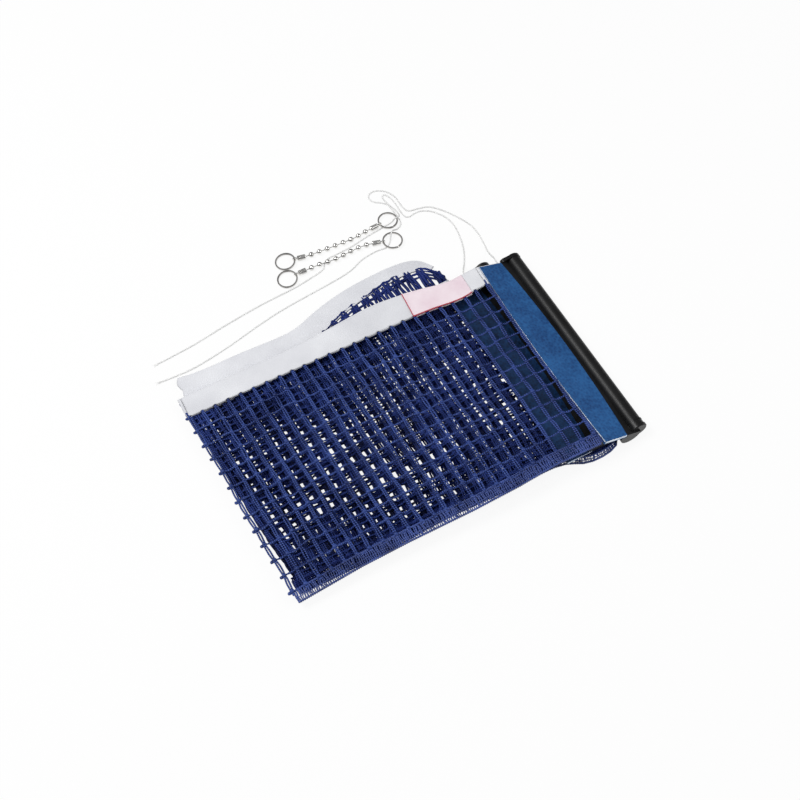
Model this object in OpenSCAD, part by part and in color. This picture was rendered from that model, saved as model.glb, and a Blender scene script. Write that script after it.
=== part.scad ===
// Table tennis net, folded for storage: knotted net with a top tape and a hem, a clamped end plate
// and post rod at each end, a tension cord, and two ball chains with split rings for hooking it up.
// +X runs along the folded length towards the end plates, +Y towards the top tape, +Z up.
// The origin is under the middle of the folded pack, on the table.

/* [Pack] */
// Length from the left fold to the outside of the upper post's caps
pack_len = 246.4; // [220:0.4:280]
// Depth from the front of the slack hem's loop to the rear of the loose run
pack_depth = 190; // [186:0.5:215]
// How far the left fold runs out of square over the net's height
fold_slant = 6.6; // [0:0.2:10]

/* [Net] */
// Height of the net from hem to tape edge, at the left fold
net_h = 157.3; // [155:0.1:162]
// How much lower the tape lies at the end plate
tape_draw = 7.5; // [4:0.5:9]
// Gaps along the top run
gaps_long = 24; // [16:1:25]
// Gaps from hem to tape
gaps_high = 12; // [8:1:12]
// Width of the twin threads that run up the net
upright_w = 1.9; // [1.2:0.1:2.6]
// Width of the threads that run along the net
along_w = 1.1; // [0.8:0.1:1.8]
// Thickness of the knotted mesh
mesh_t = 0.9; // [0.6:0.1:1]
// Thickness of a pressed run of net
run_t = 0.6; // [0.4:0.05:0.7]
// Space left between two pressed runs
run_gap = 0.16; // [0.1:0.02:0.3]

/* [Hem] */
// Width of the close-knit hem
hem_w = 8; // [6:0.5:10]
// Thickness of the hem
hem_t = 1.2; // [1:0.1:1.6]

/* [Top tape] */
// Width of the folded tape
tape_w = 15; // [13:0.5:17]
// Thickness of the folded tape on the top run
tape_t = 1.6; // [1.5:0.1:2]
// How far the net's edge reaches into the tape
tape_lap = 7; // [5:0.5:8]
// Radius of the channel that the cord runs in
channel_r = 0.65; // [0.6:0.05:0.75]

/* [Sewn tag] */
// Length of the bare tag along the tape
tag_len = 42; // [30:1:50]
// Thickness of the tag
tag_t = 0.35; // [0.2:0.05:0.5]
// Distance from the tag to the end of the top run
tag_from_end = 11; // [8:1:20]

/* [End plate] */
// Length of the plate
plate_len = 149; // [147:0.5:150]
// Width of the plate at its ends
plate_end_w = 17.8; // [15:0.1:19]
// How much the edge on the net's side bows out in the middle
net_side_bow = 2.3; // [1:0.1:2.6]
// How much the edge on the rod's side bows out in the middle
rod_side_bow = 3.8; // [1:0.1:4]
// Thickness of the sheet that the plate is folded from
sheet_t = 0.7; // [0.5:0.05:0.9]
// Space between the plate's two leaves
leaf_gap = 0.8; // [0.7:0.05:1]
// Width of the fold at the plate's foot end
end_fold = 1.5; // [1:0.1:2]

/* [Post rod] */
// Outer radius of the rod
rod_r = 5.1; // [4.8:0.1:5.5]
// Radius of the rod's bore
rod_bore_r = 3.2; // [2.8:0.1:3.3]
// Distance from the rod's axis to the edge of its web
web_reach = 12.3; // [12:0.1:13]
// Clearance between the web or the net and the plate's leaves
leaf_clear = 0.05; // [0.02:0.01:0.1]
// Distance between the two rods
rod_spacing = 21.7; // [21:0.1:24]
// How far the lower end lies shifted towards the tape
lower_shift = 3; // [2:0.5:4]

/* [Rod caps] */
// Radius of the foot's flange
cap_r = 5.8; // [5.6:0.1:6.2]
// Radius of the top cap
top_cap_r = 5.4; // [5.3:0.1:5.6]
// Radius of the lobe that covers the web's end
lobe_r = 2.4; // [2:0.1:2.6]
// Distance from the rod's axis to the lobe's tip
lobe_reach = 10; // [9.6:0.1:10.2]
// Thickness of the top cap
cap_t = 3.2; // [3:0.1:4.5]
// Length of the plug inside the rod
plug_len = 8; // [5:0.5:12]
// Clearance of the plug in the bore
plug_clear = 0.05; // [0.02:0.01:0.1]
// Length of the foot cap without its tongue
foot_len = 6; // [5:0.5:8]
// Thickness of the foot cap's flange
flange_t = 2; // [1.5:0.1:3]
// How far the foot cap starts behind the plate's end
foot_back = 1.3; // [1:0.1:1.6]
// Radius of the half-round tongue that the foot stands on
tongue_r = 7.3; // [6.5:0.1:7.3]
// Thickness of the tongue
tongue_t = 1.4; // [1:0.1:1.5]
// Distance from the rod's axis to the middle of the tongue's round
tongue_reach = 7.1; // [6.5:0.1:7.3]

/* [Cord] */
// Radius of the tension cord
cord_r = 0.5; // [0.4:0.05:0.55]

/* [Ball chain] */
// Radius of a ball
ball_r = 1.9; // [1.8:0.05:2]
// Wall of a ball and of a connector
ball_wall = 0.3; // [0.2:0.05:0.35]
// Distance from one ball to the next
ball_pitch = 5.9; // [5.6:0.1:6.4]
// Radius of a link's neck
neck_r = 0.3; // [0.2:0.05:0.35]
// Radius of a link's head
head_r = 0.62; // [0.58:0.01:0.66]
// Radius of the hole that a neck passes through
neck_hole_r = 0.5; // [0.48:0.01:0.52]
// Distance from a hole to the middle of the head behind it
head_depth = 1; // [0.95:0.05:1.1]
// Length of a connector from its eye to its mouth
connector_len = 7.6; // [7:0.1:9]
// Radius of the connector's eye
eye_r = 1.5; // [1.4:0.1:1.7]
// Radius of the hole in the eye
eye_hole_r = 0.8; // [0.78:0.01:0.9]
// Thickness of the eye
eye_t = 0.9; // [0.7:0.1:1.2]

/* [Split rings] */
// Radius to the middle of the ring's wire
ring_r = 6.5; // [6:0.1:6.8]
// Width of the flat wire
ring_w = 1; // [0.8:0.05:1]
// Height of both turns together
ring_h = 1; // [0.8:0.05:1]

/* [Hidden] */

$fn = 48;
tiny = 0.01;
seat = 0.15;       // rigid pieces of two bodies that rest on each other
soft_clear = 0.3;  // cloth next to a piece of another body

// Levels of the folded runs: run 8 lies on the table, runs 3 to 8 are a pressed stack, run 2 ends in
// the lower plate and run 1 is the top run.
run_pitch = run_t + run_gap;
function run_z(k) = run_t / 2 + (8 - k) * run_pitch;
outer_fold_r = 1.5 * run_pitch;
inner_fold_r = run_pitch / 2;

// Places along Y. The slack hem reaches furthest to the front, the loose runs to the rear.
front_y = -pack_depth / 2;
rear_y = pack_depth / 2;
plate_y = front_y + 1.7;
hem_y = plate_y + 0.2;
tape_top_y = hem_y + net_h;
tape_low_y = tape_top_y - tape_w;
mesh_low_y = hem_y + hem_w;
run_back = [0, 0, lower_shift, 3.4, 3.8, 0, 0, 4.6, 5];  // how far each run's hem lies behind the top one

// Places along X
left_x = -pack_len / 2;
rod_x = pack_len / 2 - cap_r;
rod_z = cap_r;
lower_rod_x = rod_x - rod_spacing;
fold_x = left_x + outer_fold_r + run_t / 2;
slant_angle = atan(fold_slant / net_h);
function slant_x(y) = fold_slant * (tape_top_y - y) / net_h;

// The end plate, in the rod's own frame: -X points into the plate
plate_t = 2 * sheet_t + leaf_gap;
plate_right = -lobe_reach - 1.3;
plate_left = plate_right - plate_end_w;
end_left = plate_left - net_side_bow - 0.2;
strip_t = leaf_gap - 2 * leaf_clear;
net_at_plate_h = net_h - tape_draw;
net_front = hem_y - plate_y;
end_tilt = asin((cap_r + plate_t / 2 + seat) / rod_spacing);

// The top run climbs from the left fold to the upper plate
top_left_z = run_z(1);
run_end = end_left - 0.25;
top_run_x = rod_x + run_end * cos(end_tilt);
top_rise = rod_z - run_end * sin(end_tilt) - top_left_z;
top_tilt = atan(top_rise / (top_run_x - fold_x));
top_len = (top_run_x - fold_x) / cos(top_tilt);

// The tape of the top run lies askew: its lower left corner and its angle
tape_left_x = slant_x(tape_low_y);
tape_angle = atan(tape_draw / (top_len - tape_left_x));
tape_len = (top_len - tape_left_x) / cos(tape_angle) - 0.5;

// The lower runs
stack_back = 12;        // how far the stack's right folds lie from the lower end's lobe
closing_out = 10;       // how much further out the fold between runs 7 and 8 lies
stack_right_x = lower_rod_x - lobe_reach - soft_clear - outer_fold_r - run_t / 2 - stack_back;
closing_x = stack_right_x + closing_out;
lower_run_x = lower_rod_x + run_end;
loose_shift = 16;       // how far the loose runs 5 and 6 lie towards the rear
loose_left_x = fold_x + 5;
loose_y = tape_top_y + 17;
swing_start_x = -45;    // where the loose runs start to swing out
swing_top_x = 42;       // where they lie furthest out
swing_end_y = tape_top_y + 0.5;

// Link geometry shared by balls and connectors
ball_mid = ball_r - ball_wall / 2;
link_out = ball_pitch - 2 * ball_mid;
chain_z = ball_r;
ring_tilt = asin((chain_z - ring_h / 2) / (2 * ring_r + ring_w / 2));
barrel_x = 2;
barrel_groove = 0.12;

// Chains: the place of the tied ring, then the heading of each piece from the tied connector out
rear_ring_at = [61.4, 129.3];
rear_headings = [184, 190, 184, 178, 178, 178, 177, 176, 174, 169, 165];
front_ring_at = [56.1, 112.5];
front_headings = [163, 173, 181, 186, 184, 177, 174, 176, 180, 181, 181];

// Cord routes, from the end of the tape over the table to the frayed end
lower_cord_route = [
    [82.7, 59.7, 5.8], [82.7, 61.7, 5.8], [83.4, 64, 5.3], [85, 66.7, 3.9], [87.2, 69.8, 2],
    [90, 73.8, 0.7], [93.6, 79.9, 0.5], [96.7, 87.6, 0.5], [99.1, 97.4, 0.5], [99.9, 105.9, 0.5],
    [98, 114.4, 0.5], [92.5, 122.6, 0.5], [86, 126.6, 0.5], [80.5, 126.8, 0.5], [76.6, 126, 0.5],
    [74, 127.8, 0.5], [73.4, 132.8, 0.5], [73.6, 140.8, 0.5], [72.9, 147.3, 0.5], [70.8, 151.6, 0.5],
    [68.6, 150.8, 0.5], [68, 147.4, 0.8], [68.3, 143.3, 1.7], [68.9, 138.3, 0.6], [69.4, 131.8, 0.5],
    [69.2, 125.4, 0.5], [67.2, 122.1, 0.5], [63.8, 120.4, 0.7], [61.2, 119.8, 2.2], [58.8, 118.6, 3.4],
    [57, 116.6, 2.7], [55.2, 114.2, 0.9], [53, 111.8, 0.5], [49.5, 110, 0.5], [42, 110.6, 0.5],
    [30.5, 108.8, 0.5], [14, 103.2, 0.5], [-31, 98, 0.5], [-54, 93.8, 0.5], [-78, 88.2, 0.5],
    [-104, 84, 0.5], [-125.9, 84.4, 0.5]];
upper_cord_route = [
    [105.1, 56.7, 10], [105.1, 58.7, 10], [105.9, 62.4, 8.7], [106.9, 66.4, 5.6], [107.9, 70.9, 2.4],
    [108.8, 75.4, 0.7], [109.9, 81.4, 0.5], [110.8, 89.7, 0.5], [110.1, 99.4, 0.5], [105.4, 110.2, 0.5],
    [99.5, 120, 0.5], [92.6, 127.2, 0.5], [84.5, 129.6, 0.5], [79, 130.6, 0.5], [76.8, 133.8, 0.5],
    [76.4, 140.3, 0.5], [76, 147.3, 0.5], [72.4, 154.2, 0.5], [66.8, 157.6, 0.5], [61.6, 157, 0.5],
    [59.5, 153.4, 0.5], [61.2, 149.2, 0.5], [66, 145.6, 0.5], [69.6, 140.8, 0.5], [71, 134.8, 0.5],
    [70.9, 130.4, 0.9], [69.2, 128.1, 3], [67.6, 127.8, 3.4], [65.8, 127.7, 2.9], [63.4, 127.4, 1.1],
    [60, 127, 0.5], [44, 124.9, 0.5], [28, 122, 0.5], [11.4, 120.8, 0.5], [7.4, 118.8, 0.5],
    [5.4, 115.6, 0.5], [1.6, 113.4, 0.5], [-19, 109.8, 0.5], [-44, 108, 0.5], [-72, 104.4, 0.5],
    [-98, 100.2, 0.5], [-122, 98, 0.5]];

// ---- helpers ------------------------------------------------------------------------------------

// An XZ outline run along Y from y0 to y1
module along_y(y0, y1) translate([0, y1, 0]) rotate([90, 0, 0]) linear_extrude(y1 - y0) children();

// A YZ outline run along X from x0 to x1
module along_x(x0, x1) translate([x0, 0, 0]) rotate([90, 0, 90]) linear_extrude(x1 - x0) children();

// Places a piece in the frame of a post rod. The two ends of a net are mirror images.
module upper_frame() translate([rod_x, plate_y, rod_z]) rotate([0, end_tilt, 0]) children();
module lower_frame() translate([lower_rod_x, plate_y + lower_shift, rod_z]) mirror([0, 0, 1])
    children();

// Places a piece in the plane of the climbing top run
module top_frame() translate([fold_x, 0, top_left_z]) rotate([0, -top_tilt, 0]) children();

// Half ring outline of a fold, open towards +X for dir = 1 and towards -X for dir = -1
module fold_outline(r, dir) difference() {
    circle(r + run_t / 2);
    circle(r - run_t / 2);
    translate([dir > 0 ? 0 : -2 * r - run_t, -r - run_t]) square([2 * (r + run_t), 2 * (r + run_t)]);
}

function unit(v) = v / norm(v);
function tangent(p, i) = unit(p[min(i + 1, len(p) - 1)] - p[max(i - 1, 0)]);
function ring_points(p, i, r, n) =
    let (t = tangent(p, i), s = unit(cross([0, 0, 1], t)), u = cross(t, s))
    [for (j = [0 : n - 1]) let (a = 360 * (j + 0.5) / n) p[i] + r * (cos(a) * s + sin(a) * u)];

// A round tube along the points of a route
module tube(route, r) {
    sides = 8;
    last = len(route) - 1;
    points = [for (i = [0 : last]) each ring_points(route, i, r, sides)];
    walls = [for (i = [0 : last - 1], j = [0 : sides - 1])
        let (a = i * sides + j, b = i * sides + (j + 1) % sides)
        each [[a, a + sides, b], [b, a + sides, b + sides]]];
    start_cap = [for (j = [1 : sides - 2]) [0, j, j + 1]];
    end_cap = [for (j = [1 : sides - 2]) [0, j + 1, j] + last * sides * [1, 1, 1]];
    polyhedron(points, concat(walls, start_cap, end_cap));
}

// ---- the net ------------------------------------------------------------------------------------

// A point of the top run: s runs from the fold to the plate, t from the hem to the tape, and d
// shifts the point straight across. The run starts a seam's width beside its fold.
fold_seam = 0.2;
function run_point(s, t, d = 0) =
    let (y = mesh_low_y + t * (tape_low_y - mesh_low_y), x0 = slant_x(y) + fold_seam)
    [x0 + s * (top_len - x0), y - t * s * tape_draw + d];

module net_top_run() color("midnightblue") top_frame() translate([0, 0, -mesh_t / 2])
    linear_extrude(mesh_t) difference() {
        polygon([run_point(0, 0, -tape_lap / 2), run_point(1, 0, -tape_lap / 2),
            run_point(1, 1, tape_lap), run_point(0, 1, tape_lap)]);
        half_s = upright_w / 2 / top_len;
        half_t = along_w / 2 / (tape_low_y - mesh_low_y);
        for (i = [0 : gaps_long - 1], j = [0 : gaps_high - 1]) {
            s0 = i / gaps_long + half_s;
            s1 = (i + 1) / gaps_long - half_s;
            t0 = j / gaps_high + half_t;
            t1 = (j + 1) / gaps_high - half_t;
            polygon([run_point(s0, t0), run_point(s1, t0), run_point(s1, t1), run_point(s0, t1)]);
        }
    }

module hem_top_run() color("navy") top_frame() difference() {
    round_r = hem_t / 2;
    along_x(slant_x(hem_y), top_len) union() {
        translate([hem_y + round_r, 0]) circle(round_r);
        translate([mesh_low_y - round_r, 0]) circle(round_r);
        translate([hem_y + round_r, -round_r]) square([hem_w - hem_t, hem_t]);
    }
    along_x(-tiny, top_len + 1)
        translate([mesh_low_y - tape_lap / 2 - leaf_clear, -mesh_t / 2 - leaf_clear])
            square([tape_lap, mesh_t + 2 * leaf_clear]);
}

// The tape's own frame: X along its lower edge, Y across it
module tape_frame() top_frame() translate([tape_left_x, tape_low_y, 0]) rotate([0, 0, -tape_angle])
    children();

// Cross section of the tape, with room for the net's edge, and of the channel
channel_y = tape_w - 2.5;
module tape_top_run() color("whitesmoke") tape_frame() {
    round_r = tape_t / 2;
    along_x(0, tape_len) difference() {
        union() {
            translate([0, -round_r]) square([tape_w - round_r, tape_t]);
            translate([tape_w - round_r, 0]) circle(round_r);
        }
        translate([-1, -mesh_t / 2 - leaf_clear]) square([tape_lap + 1.1, mesh_t + 2 * leaf_clear]);
        translate([channel_y, 0]) circle(channel_r);
    }
}

module cord_in_tape() color("white") tape_frame()
    translate([0, channel_y, cord_r - channel_r + 0.02]) rotate([0, 90, 0])
        cylinder(r = cord_r, h = tape_len);

// The bare tag wraps round the tape and shows on both faces
module sewn_tag() color("mistyrose") tape_frame() {
    inner = tape_t / 2 + 0.02;
    outer = inner + tag_t;
    over = 0.6;
    round_y = tape_w - tape_t / 2;
    along_x(tape_len - tag_from_end - tag_len, tape_len - tag_from_end) difference() {
        union() {
            translate([-over, -outer]) square([round_y + over, 2 * outer]);
            translate([round_y, 0]) circle(outer);
        }
        translate([-over - 1, -inner]) square([round_y + over + 1, 2 * inner]);
        translate([round_y, 0]) circle(inner);
    }
}

// Rear edge of the loose runs, less an inset that narrows from the full tape width to the swung end
function inset_at(x, inset) = inset * (x < -10 ? 1 : 1 - 0.7 * (x + 10) / (stack_right_x + 10));
function rear_edge(inset) =
    let (swing = rear_y - loose_y, end_rx = stack_right_x + outer_fold_r - swing_top_x,
        end_ry = rear_y - swing_end_y)
    concat([[loose_left_x, loose_y - inset]],
    [for (i = [0 : 8]) let (x = swing_start_x + i * (swing_top_x - swing_start_x) / 8)
        [x, loose_y - inset_at(x, inset) + swing * (1 - cos(180 * i / 8)) / 2]],
    [for (a = [75 : -15 : 0]) let (x = swing_top_x + end_rx * cos(a), w = inset_at(x, inset))
        [x - (inset > 0 ? 0.5 : 0), swing_end_y + (end_ry - w) * sin(a)]]);
function reversed(v) = [for (i = [len(v) - 1 : -1 : 0]) v[i]];

// Flat outline between y0 and y1, from the slanted fold to x1
module run_outline(y0, y1, x1) polygon([[fold_x + slant_x(y0), y0], [x1, y0], [x1, y1],
    [fold_x + slant_x(y1), y1]]);
module mesh_outline(k, x1) run_outline(mesh_low_y + run_back[k], tape_low_y, x1);
module hem_outline(k, x1) run_outline(hem_y + run_back[k], mesh_low_y + run_back[k], x1);
module tape_outline(x1) run_outline(tape_low_y, tape_top_y, x1);

// The left folds join run 1 to 4, 2 to 3, 5 to 8 and 6 to 7; the right ones 3 to 6, 4 to 5, 7 to 8
module left_folds(y0, y1, loose) translate([fold_x + slant_x(y0), y0, 0]) rotate([0, 0, slant_angle])
    along_y(0, (y1 - y0) / cos(slant_angle)) {
        translate([0, (run_z(1) + run_z(4)) / 2]) fold_outline(outer_fold_r, 1);
        translate([0, (run_z(2) + run_z(3)) / 2]) fold_outline(inner_fold_r, 1);
        if (loose) {
            translate([0, (run_z(5) + run_z(8)) / 2]) fold_outline(outer_fold_r, 1);
            translate([0, (run_z(6) + run_z(7)) / 2]) fold_outline(inner_fold_r, 1);
        }
    }

module right_folds(y0, y1) along_y(y0, y1) {
    translate([stack_right_x, (run_z(3) + run_z(6)) / 2]) fold_outline(outer_fold_r, -1);
    translate([stack_right_x, (run_z(4) + run_z(5)) / 2]) fold_outline(inner_fold_r, -1);
}

module closing_fold(y0, y1) along_y(y0, y1)
    translate([closing_x, (run_z(7) + run_z(8)) / 2]) fold_outline(inner_fold_r, -1);

// One pressed run at its level
module slab(k) translate([0, 0, run_z(k) - run_t / 2]) linear_extrude(run_t) children();

module net_lower_runs() color("midnightblue") {
    loose_front = mesh_low_y + loose_shift;
    for (k = [3, 4]) slab(k) mesh_outline(k, stack_right_x);
    for (k = [7, 8]) slab(k) mesh_outline(k, closing_x);
    slab(2) mesh_outline(2, lower_run_x);
    for (k = [5, 6]) slab(k) polygon(concat([[fold_x + slant_x(loose_front), loose_front],
        [stack_right_x, loose_front], [stack_right_x, tape_low_y]], reversed(rear_edge(tape_w))));
    left_folds(loose_front, tape_low_y, true);
    right_folds(loose_front, tape_low_y);
    closing_fold(mesh_low_y + run_back[8], tape_low_y);
}

// The slack hem by the lower end lies in a loop round its foot, and joins run 8 beside it
module hem_loop() {
    chord = 30;
    rise = 4;
    root = 10;
    loop_r = (chord * chord / 4 + rise * rise) / (2 * rise);
    intersection() {
        translate([closing_x + 6.5, front_y + loop_r, 0.2]) cylinder(r = loop_r, h = 3.2, $fn = 180);
        translate([closing_x - root, front_y - 1, 0]) union() {
            cube([chord + root, rise + 1, 5]);
            cube([root, hem_y + run_back[8] - front_y + 1 + tiny, 5]);
        }
    }
}

module hem_lower_runs() color("navy") {
    for (k = [3, 4]) slab(k) hem_outline(k, stack_right_x);
    for (k = [7, 8]) slab(k) hem_outline(k, closing_x);
    slab(2) hem_outline(2, lower_run_x);
    left_folds(hem_y + 1, mesh_low_y, false);
    hem_loop();
}

module tape_lower_runs() color("gainsboro") {
    for (k = [3, 4]) slab(k) tape_outline(stack_right_x);
    for (k = [7, 8]) slab(k) tape_outline(closing_x);
    difference() {
        slab(2) tape_outline(lower_run_x);
        tape_frame() translate([-1, -1, -tape_t / 2 - leaf_clear]) cube([tape_len, tape_w + 2, tape_t]);
    }
    for (k = [5, 6]) slab(k) polygon(concat(rear_edge(0), reversed(rear_edge(tape_w))));
    left_folds(tape_low_y, tape_top_y, false);
    closing_fold(tape_low_y, tape_top_y);
}

// ---- the two ends -------------------------------------------------------------------------------

// Radius of an edge that bows out by a height over the plate's length
function bow_r(bow) = (pow(plate_len / 2, 2) + pow(bow, 2)) / (2 * bow);

// Blank of the plate: both long edges bow out
module plate_blank(h, y0, y1) intersection() {
    translate([plate_left + bow_r(net_side_bow) - net_side_bow, plate_len / 2, -h / 2])
        cylinder(r = bow_r(net_side_bow), h = h, $fn = 720);
    translate([plate_right - bow_r(rod_side_bow) + rod_side_bow, plate_len / 2, -h / 2])
        cylinder(r = bow_r(rod_side_bow), h = h, $fn = 720);
    translate([plate_left - 5, y0, -h / 2]) cube([plate_end_w + 10, y1 - y0, h]);
}

// The plate is one sheet folded at its foot end; its leaves grip the net and the rod's web
module end_plate() color("steelblue") difference() {
    plate_blank(plate_t, 0, plate_len);
    translate([plate_left - 5, end_fold, -leaf_gap / 2]) cube([plate_end_w + 10, plate_len, leaf_gap]);
}

// Extruded rod: a tube with a web that reaches between the plate's leaves. The tube is cut back at the
// foot, and the web runs on beside the foot cap.
rod_start = foot_back + foot_len;
module post_rod() color("#1e1e20") {
    cap_gap = 0.2;
    along_y(rod_start, plate_len) difference() {
        union() {
            circle(rod_r, $fn = 96);
            translate([-web_reach, -strip_t / 2]) square([web_reach, strip_t]);
        }
        circle(rod_bore_r);
    }
    along_y(end_fold + leaf_clear, rod_start + tiny) translate([-web_reach, -strip_t / 2])
        square([web_reach - cap_r - cap_gap, strip_t]);
}

// Outline of the top cap: the rod's round and the lobe over the web, joined by their tangents
module cap_outline() {
    reach = lobe_reach - lobe_r;
    lean = asin((top_cap_r - lobe_r) / reach);
    circle(top_cap_r, $fn = 96);
    translate([-reach, 0]) circle(lobe_r);
    polygon([[-top_cap_r * sin(lean), top_cap_r * cos(lean)],
        [-reach - lobe_r * sin(lean), lobe_r * cos(lean)],
        [-reach - lobe_r * sin(lean), -lobe_r * cos(lean)],
        [-top_cap_r * sin(lean), -top_cap_r * cos(lean)]]);
}

module plug(y0, y1) along_y(y0, y1) circle(rod_bore_r - plug_clear);

module top_cap() color("#1a1a1c") {
    rim = 0.8;
    along_y(plate_len, plate_len + cap_t - rim) cap_outline();
    translate([0, plate_len + cap_t - rim, 0]) rotate([-90, 0, 0])
        cylinder(r1 = top_cap_r, r2 = top_cap_r - rim, h = rim, $fn = 96);
    plug(plate_len - plug_len, plate_len + tiny);
}

// Foot cap: a flange at the end, a neck, a bead against the rod, and a half-round tongue below the
// plate that the end stands on
module foot_cap() color("#1a1a1c") {
    bead = 0.8;
    neck_extra = 0.2;
    rim = 0.5;
    tongue_drop = 0.8;
    notch_gap = 0.4;
    // turned part, from the end to the rod
    translate([0, foot_back, 0]) rotate([-90, 0, 0]) rotate_extrude($fn = 96) polygon([[0, 0],
        [cap_r - rim, 0], [cap_r, rim], [cap_r, flange_t], [rod_r + neck_extra, flange_t],
        [rod_r + neck_extra, foot_len - bead], [rod_r + 2 * neck_extra, foot_len - bead],
        [rod_r + 2 * neck_extra, foot_len], [0, foot_len]]);
    along_y(foot_back - tongue_t, foot_back + tiny) difference() {
        translate([-tongue_reach, -tongue_drop]) circle(tongue_r, $fn = 96);
        translate([-3 * tongue_r, plate_t / 2]) square(4 * tongue_r);
        translate([plate_right + notch_gap - 3 * tongue_r, -plate_t / 2 - 2 * leaf_clear])
            square([3 * tongue_r, 4 * tongue_r]);
    }
    plug(rod_start - tiny, rod_start + plug_len);
}

// The end of the net between the plate's leaves, and the end of the tape above it
strip_right = -web_reach - 0.2;
module end_strip(y0, y1) translate([end_left, y0, -strip_t / 2])
    cube([strip_right - end_left, y1 - y0, strip_t]);
module net_end() color("midnightblue")
    end_strip(end_fold + leaf_clear, net_front + net_at_plate_h - tape_w);
module tape_end() color("whitesmoke")
    end_strip(net_front + net_at_plate_h - tape_w + leaf_clear, net_front + net_at_plate_h);

// ---- ball chains --------------------------------------------------------------------------------

// Centre of the first hinge and of the ones after it, along the headings
function heading(h) = [cos(h), sin(h)];
function pivot(at, h, k) = k == 0 ? at + ring_r * heading(h[0])
    : k == 1 ? pivot(at, h, 0) + (connector_len + link_out) * heading(h[0])
    : k <= 9 ? pivot(at, h, k - 1) + ball_pitch * heading(h[k - 1])
    : pivot(at, h, 9) + connector_len * heading(h[9]);

module on_chain(at, h, k) translate([pivot(at, h, k)[0], pivot(at, h, k)[1], chain_z])
    rotate([0, 0, h[k]]) children();

// Half of the outline of a round piece, turned about its axis and laid along X
module turned(x) translate([x, 0, 0]) rotate([0, 90, 0]) rotate_extrude() intersection() {
    children();
    translate([0, -50]) square([50, 100]);
}

// A link: a neck with a head at each end, from one hole to the next
module link(x0, x1) turned(0) {
    translate([0, x0 - head_depth]) square([neck_r, x1 - x0 + 2 * head_depth]);
    for (x = [x0 - head_depth, x1 + head_depth]) translate([0, x]) circle(head_r);
}

// Hollow ball with a hole at each pole; its outgoing link is captive in it and in the next piece
module chain_ball() color("silver") {
    turned(ball_mid) difference() {
        circle(ball_r);
        circle(ball_r - ball_wall);
        translate([-1, -ball_r - 1]) square([neck_hole_r + 1, 2 * ball_r + 2]);
    }
    link(2 * ball_mid, ball_pitch);
}

// Connector: a thin barrel with two pressed grooves, a mouth for a link, and an eye for a ring.
// The eye is at x = 0 and the mouth's mid wall at x = connector_len.
module connector_body() {
    mouth_x = connector_len + ball_wall / 2;
    inner_r = ball_r - ball_wall;
    round_r = 0.7;
    turned(0) difference() {
        union() {
            translate([0, barrel_x]) square([ball_r, mouth_x - barrel_x - round_r]);
            translate([0, mouth_x - round_r]) square([ball_r - round_r, round_r]);
            translate([ball_r - round_r, mouth_x - round_r]) circle(round_r);
        }
        for (x = [barrel_x + 1, barrel_x + 2]) translate([ball_r, x]) circle(barrel_groove, $fn = 16);
        translate([-1, barrel_x + ball_wall])
            square([inner_r + 1, mouth_x - barrel_x - 2 * ball_wall]);
        translate([-1, mouth_x - 1]) square([neck_hole_r + 1, 2]);
    }
    rotate([90, 0, 0]) translate([0, 0, -eye_t / 2]) difference() {
        union() {
            cylinder(r = eye_r, h = eye_t);
            translate([0, -eye_hole_r, 0]) cube([barrel_x + tiny, 2 * eye_hole_r, eye_t]);
        }
        translate([0, 0, -1]) cylinder(r = eye_hole_r, h = eye_t + 2);
    }
}

module tied_connector() color("silver") {
    connector_body();
    link(connector_len, connector_len + link_out);
}

module free_connector() color("silver") translate([connector_len, 0, 0]) rotate([0, 0, 180])
    connector_body();

// Split ring: two flat turns on each other, each with its own cut end
module split_ring() color("silver") {
    cut = 12;
    for (turn = [0, 1]) translate([0, 0, (turn - 1) * ring_h / 2]) rotate([0, 0, 100 + 180 * turn])
        rotate_extrude(angle = 360 - cut, $fn = 72)
            translate([ring_r - ring_w / 2, 0]) square([ring_w, ring_h / 2 + (turn == 0 ? tiny / 2 : 0)]);
}

module tied_ring(at) translate([at[0], at[1], chain_z]) split_ring();

module free_ring(at, h) translate([pivot(at, h, 10)[0], pivot(at, h, 10)[1], chain_z])
    rotate([0, 0, h[10]]) rotate([0, ring_tilt, 0]) translate([ring_r, 0, 0]) rotate([0, 0, 90]) split_ring();

// ---- nodes --------------------------------------------------------------------------------------

module upper_end_plate() upper_frame() end_plate();
module upper_post_rod() upper_frame() post_rod();
module upper_top_cap() upper_frame() top_cap();
module upper_foot_cap() upper_frame() foot_cap();
module upper_net_end() upper_frame() net_end();
module upper_tape_end() upper_frame() tape_end();
module lower_end_plate() lower_frame() end_plate();
module lower_post_rod() lower_frame() post_rod();
module lower_top_cap() lower_frame() top_cap();
module lower_foot_cap() lower_frame() foot_cap();
module lower_net_end() lower_frame() net_end();
module lower_tape_end() lower_frame() tape_end();
module cord_from_lower_end() color("white") tube(lower_cord_route, cord_r);
module cord_from_upper_end() color("white") tube(upper_cord_route, cord_r);

net_top_run();
net_lower_runs();
hem_top_run();
hem_lower_runs();
tape_top_run();
tape_lower_runs();
sewn_tag();
cord_in_tape();
upper_end_plate();
upper_post_rod();
upper_top_cap();
upper_foot_cap();
upper_net_end();
upper_tape_end();
lower_end_plate();
lower_post_rod();
lower_top_cap();
lower_foot_cap();
lower_net_end();
lower_tape_end();
cord_from_lower_end();
cord_from_upper_end();

tied_ring(rear_ring_at);  // rear_tied_ring
on_chain(rear_ring_at, rear_headings, 0) tied_connector();  // rear_tied_connector
for (k = [1 : 8]) on_chain(rear_ring_at, rear_headings, k) chain_ball();
on_chain(rear_ring_at, rear_headings, 9) free_connector();  // rear_free_connector
free_ring(rear_ring_at, rear_headings);  // rear_free_ring

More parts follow.
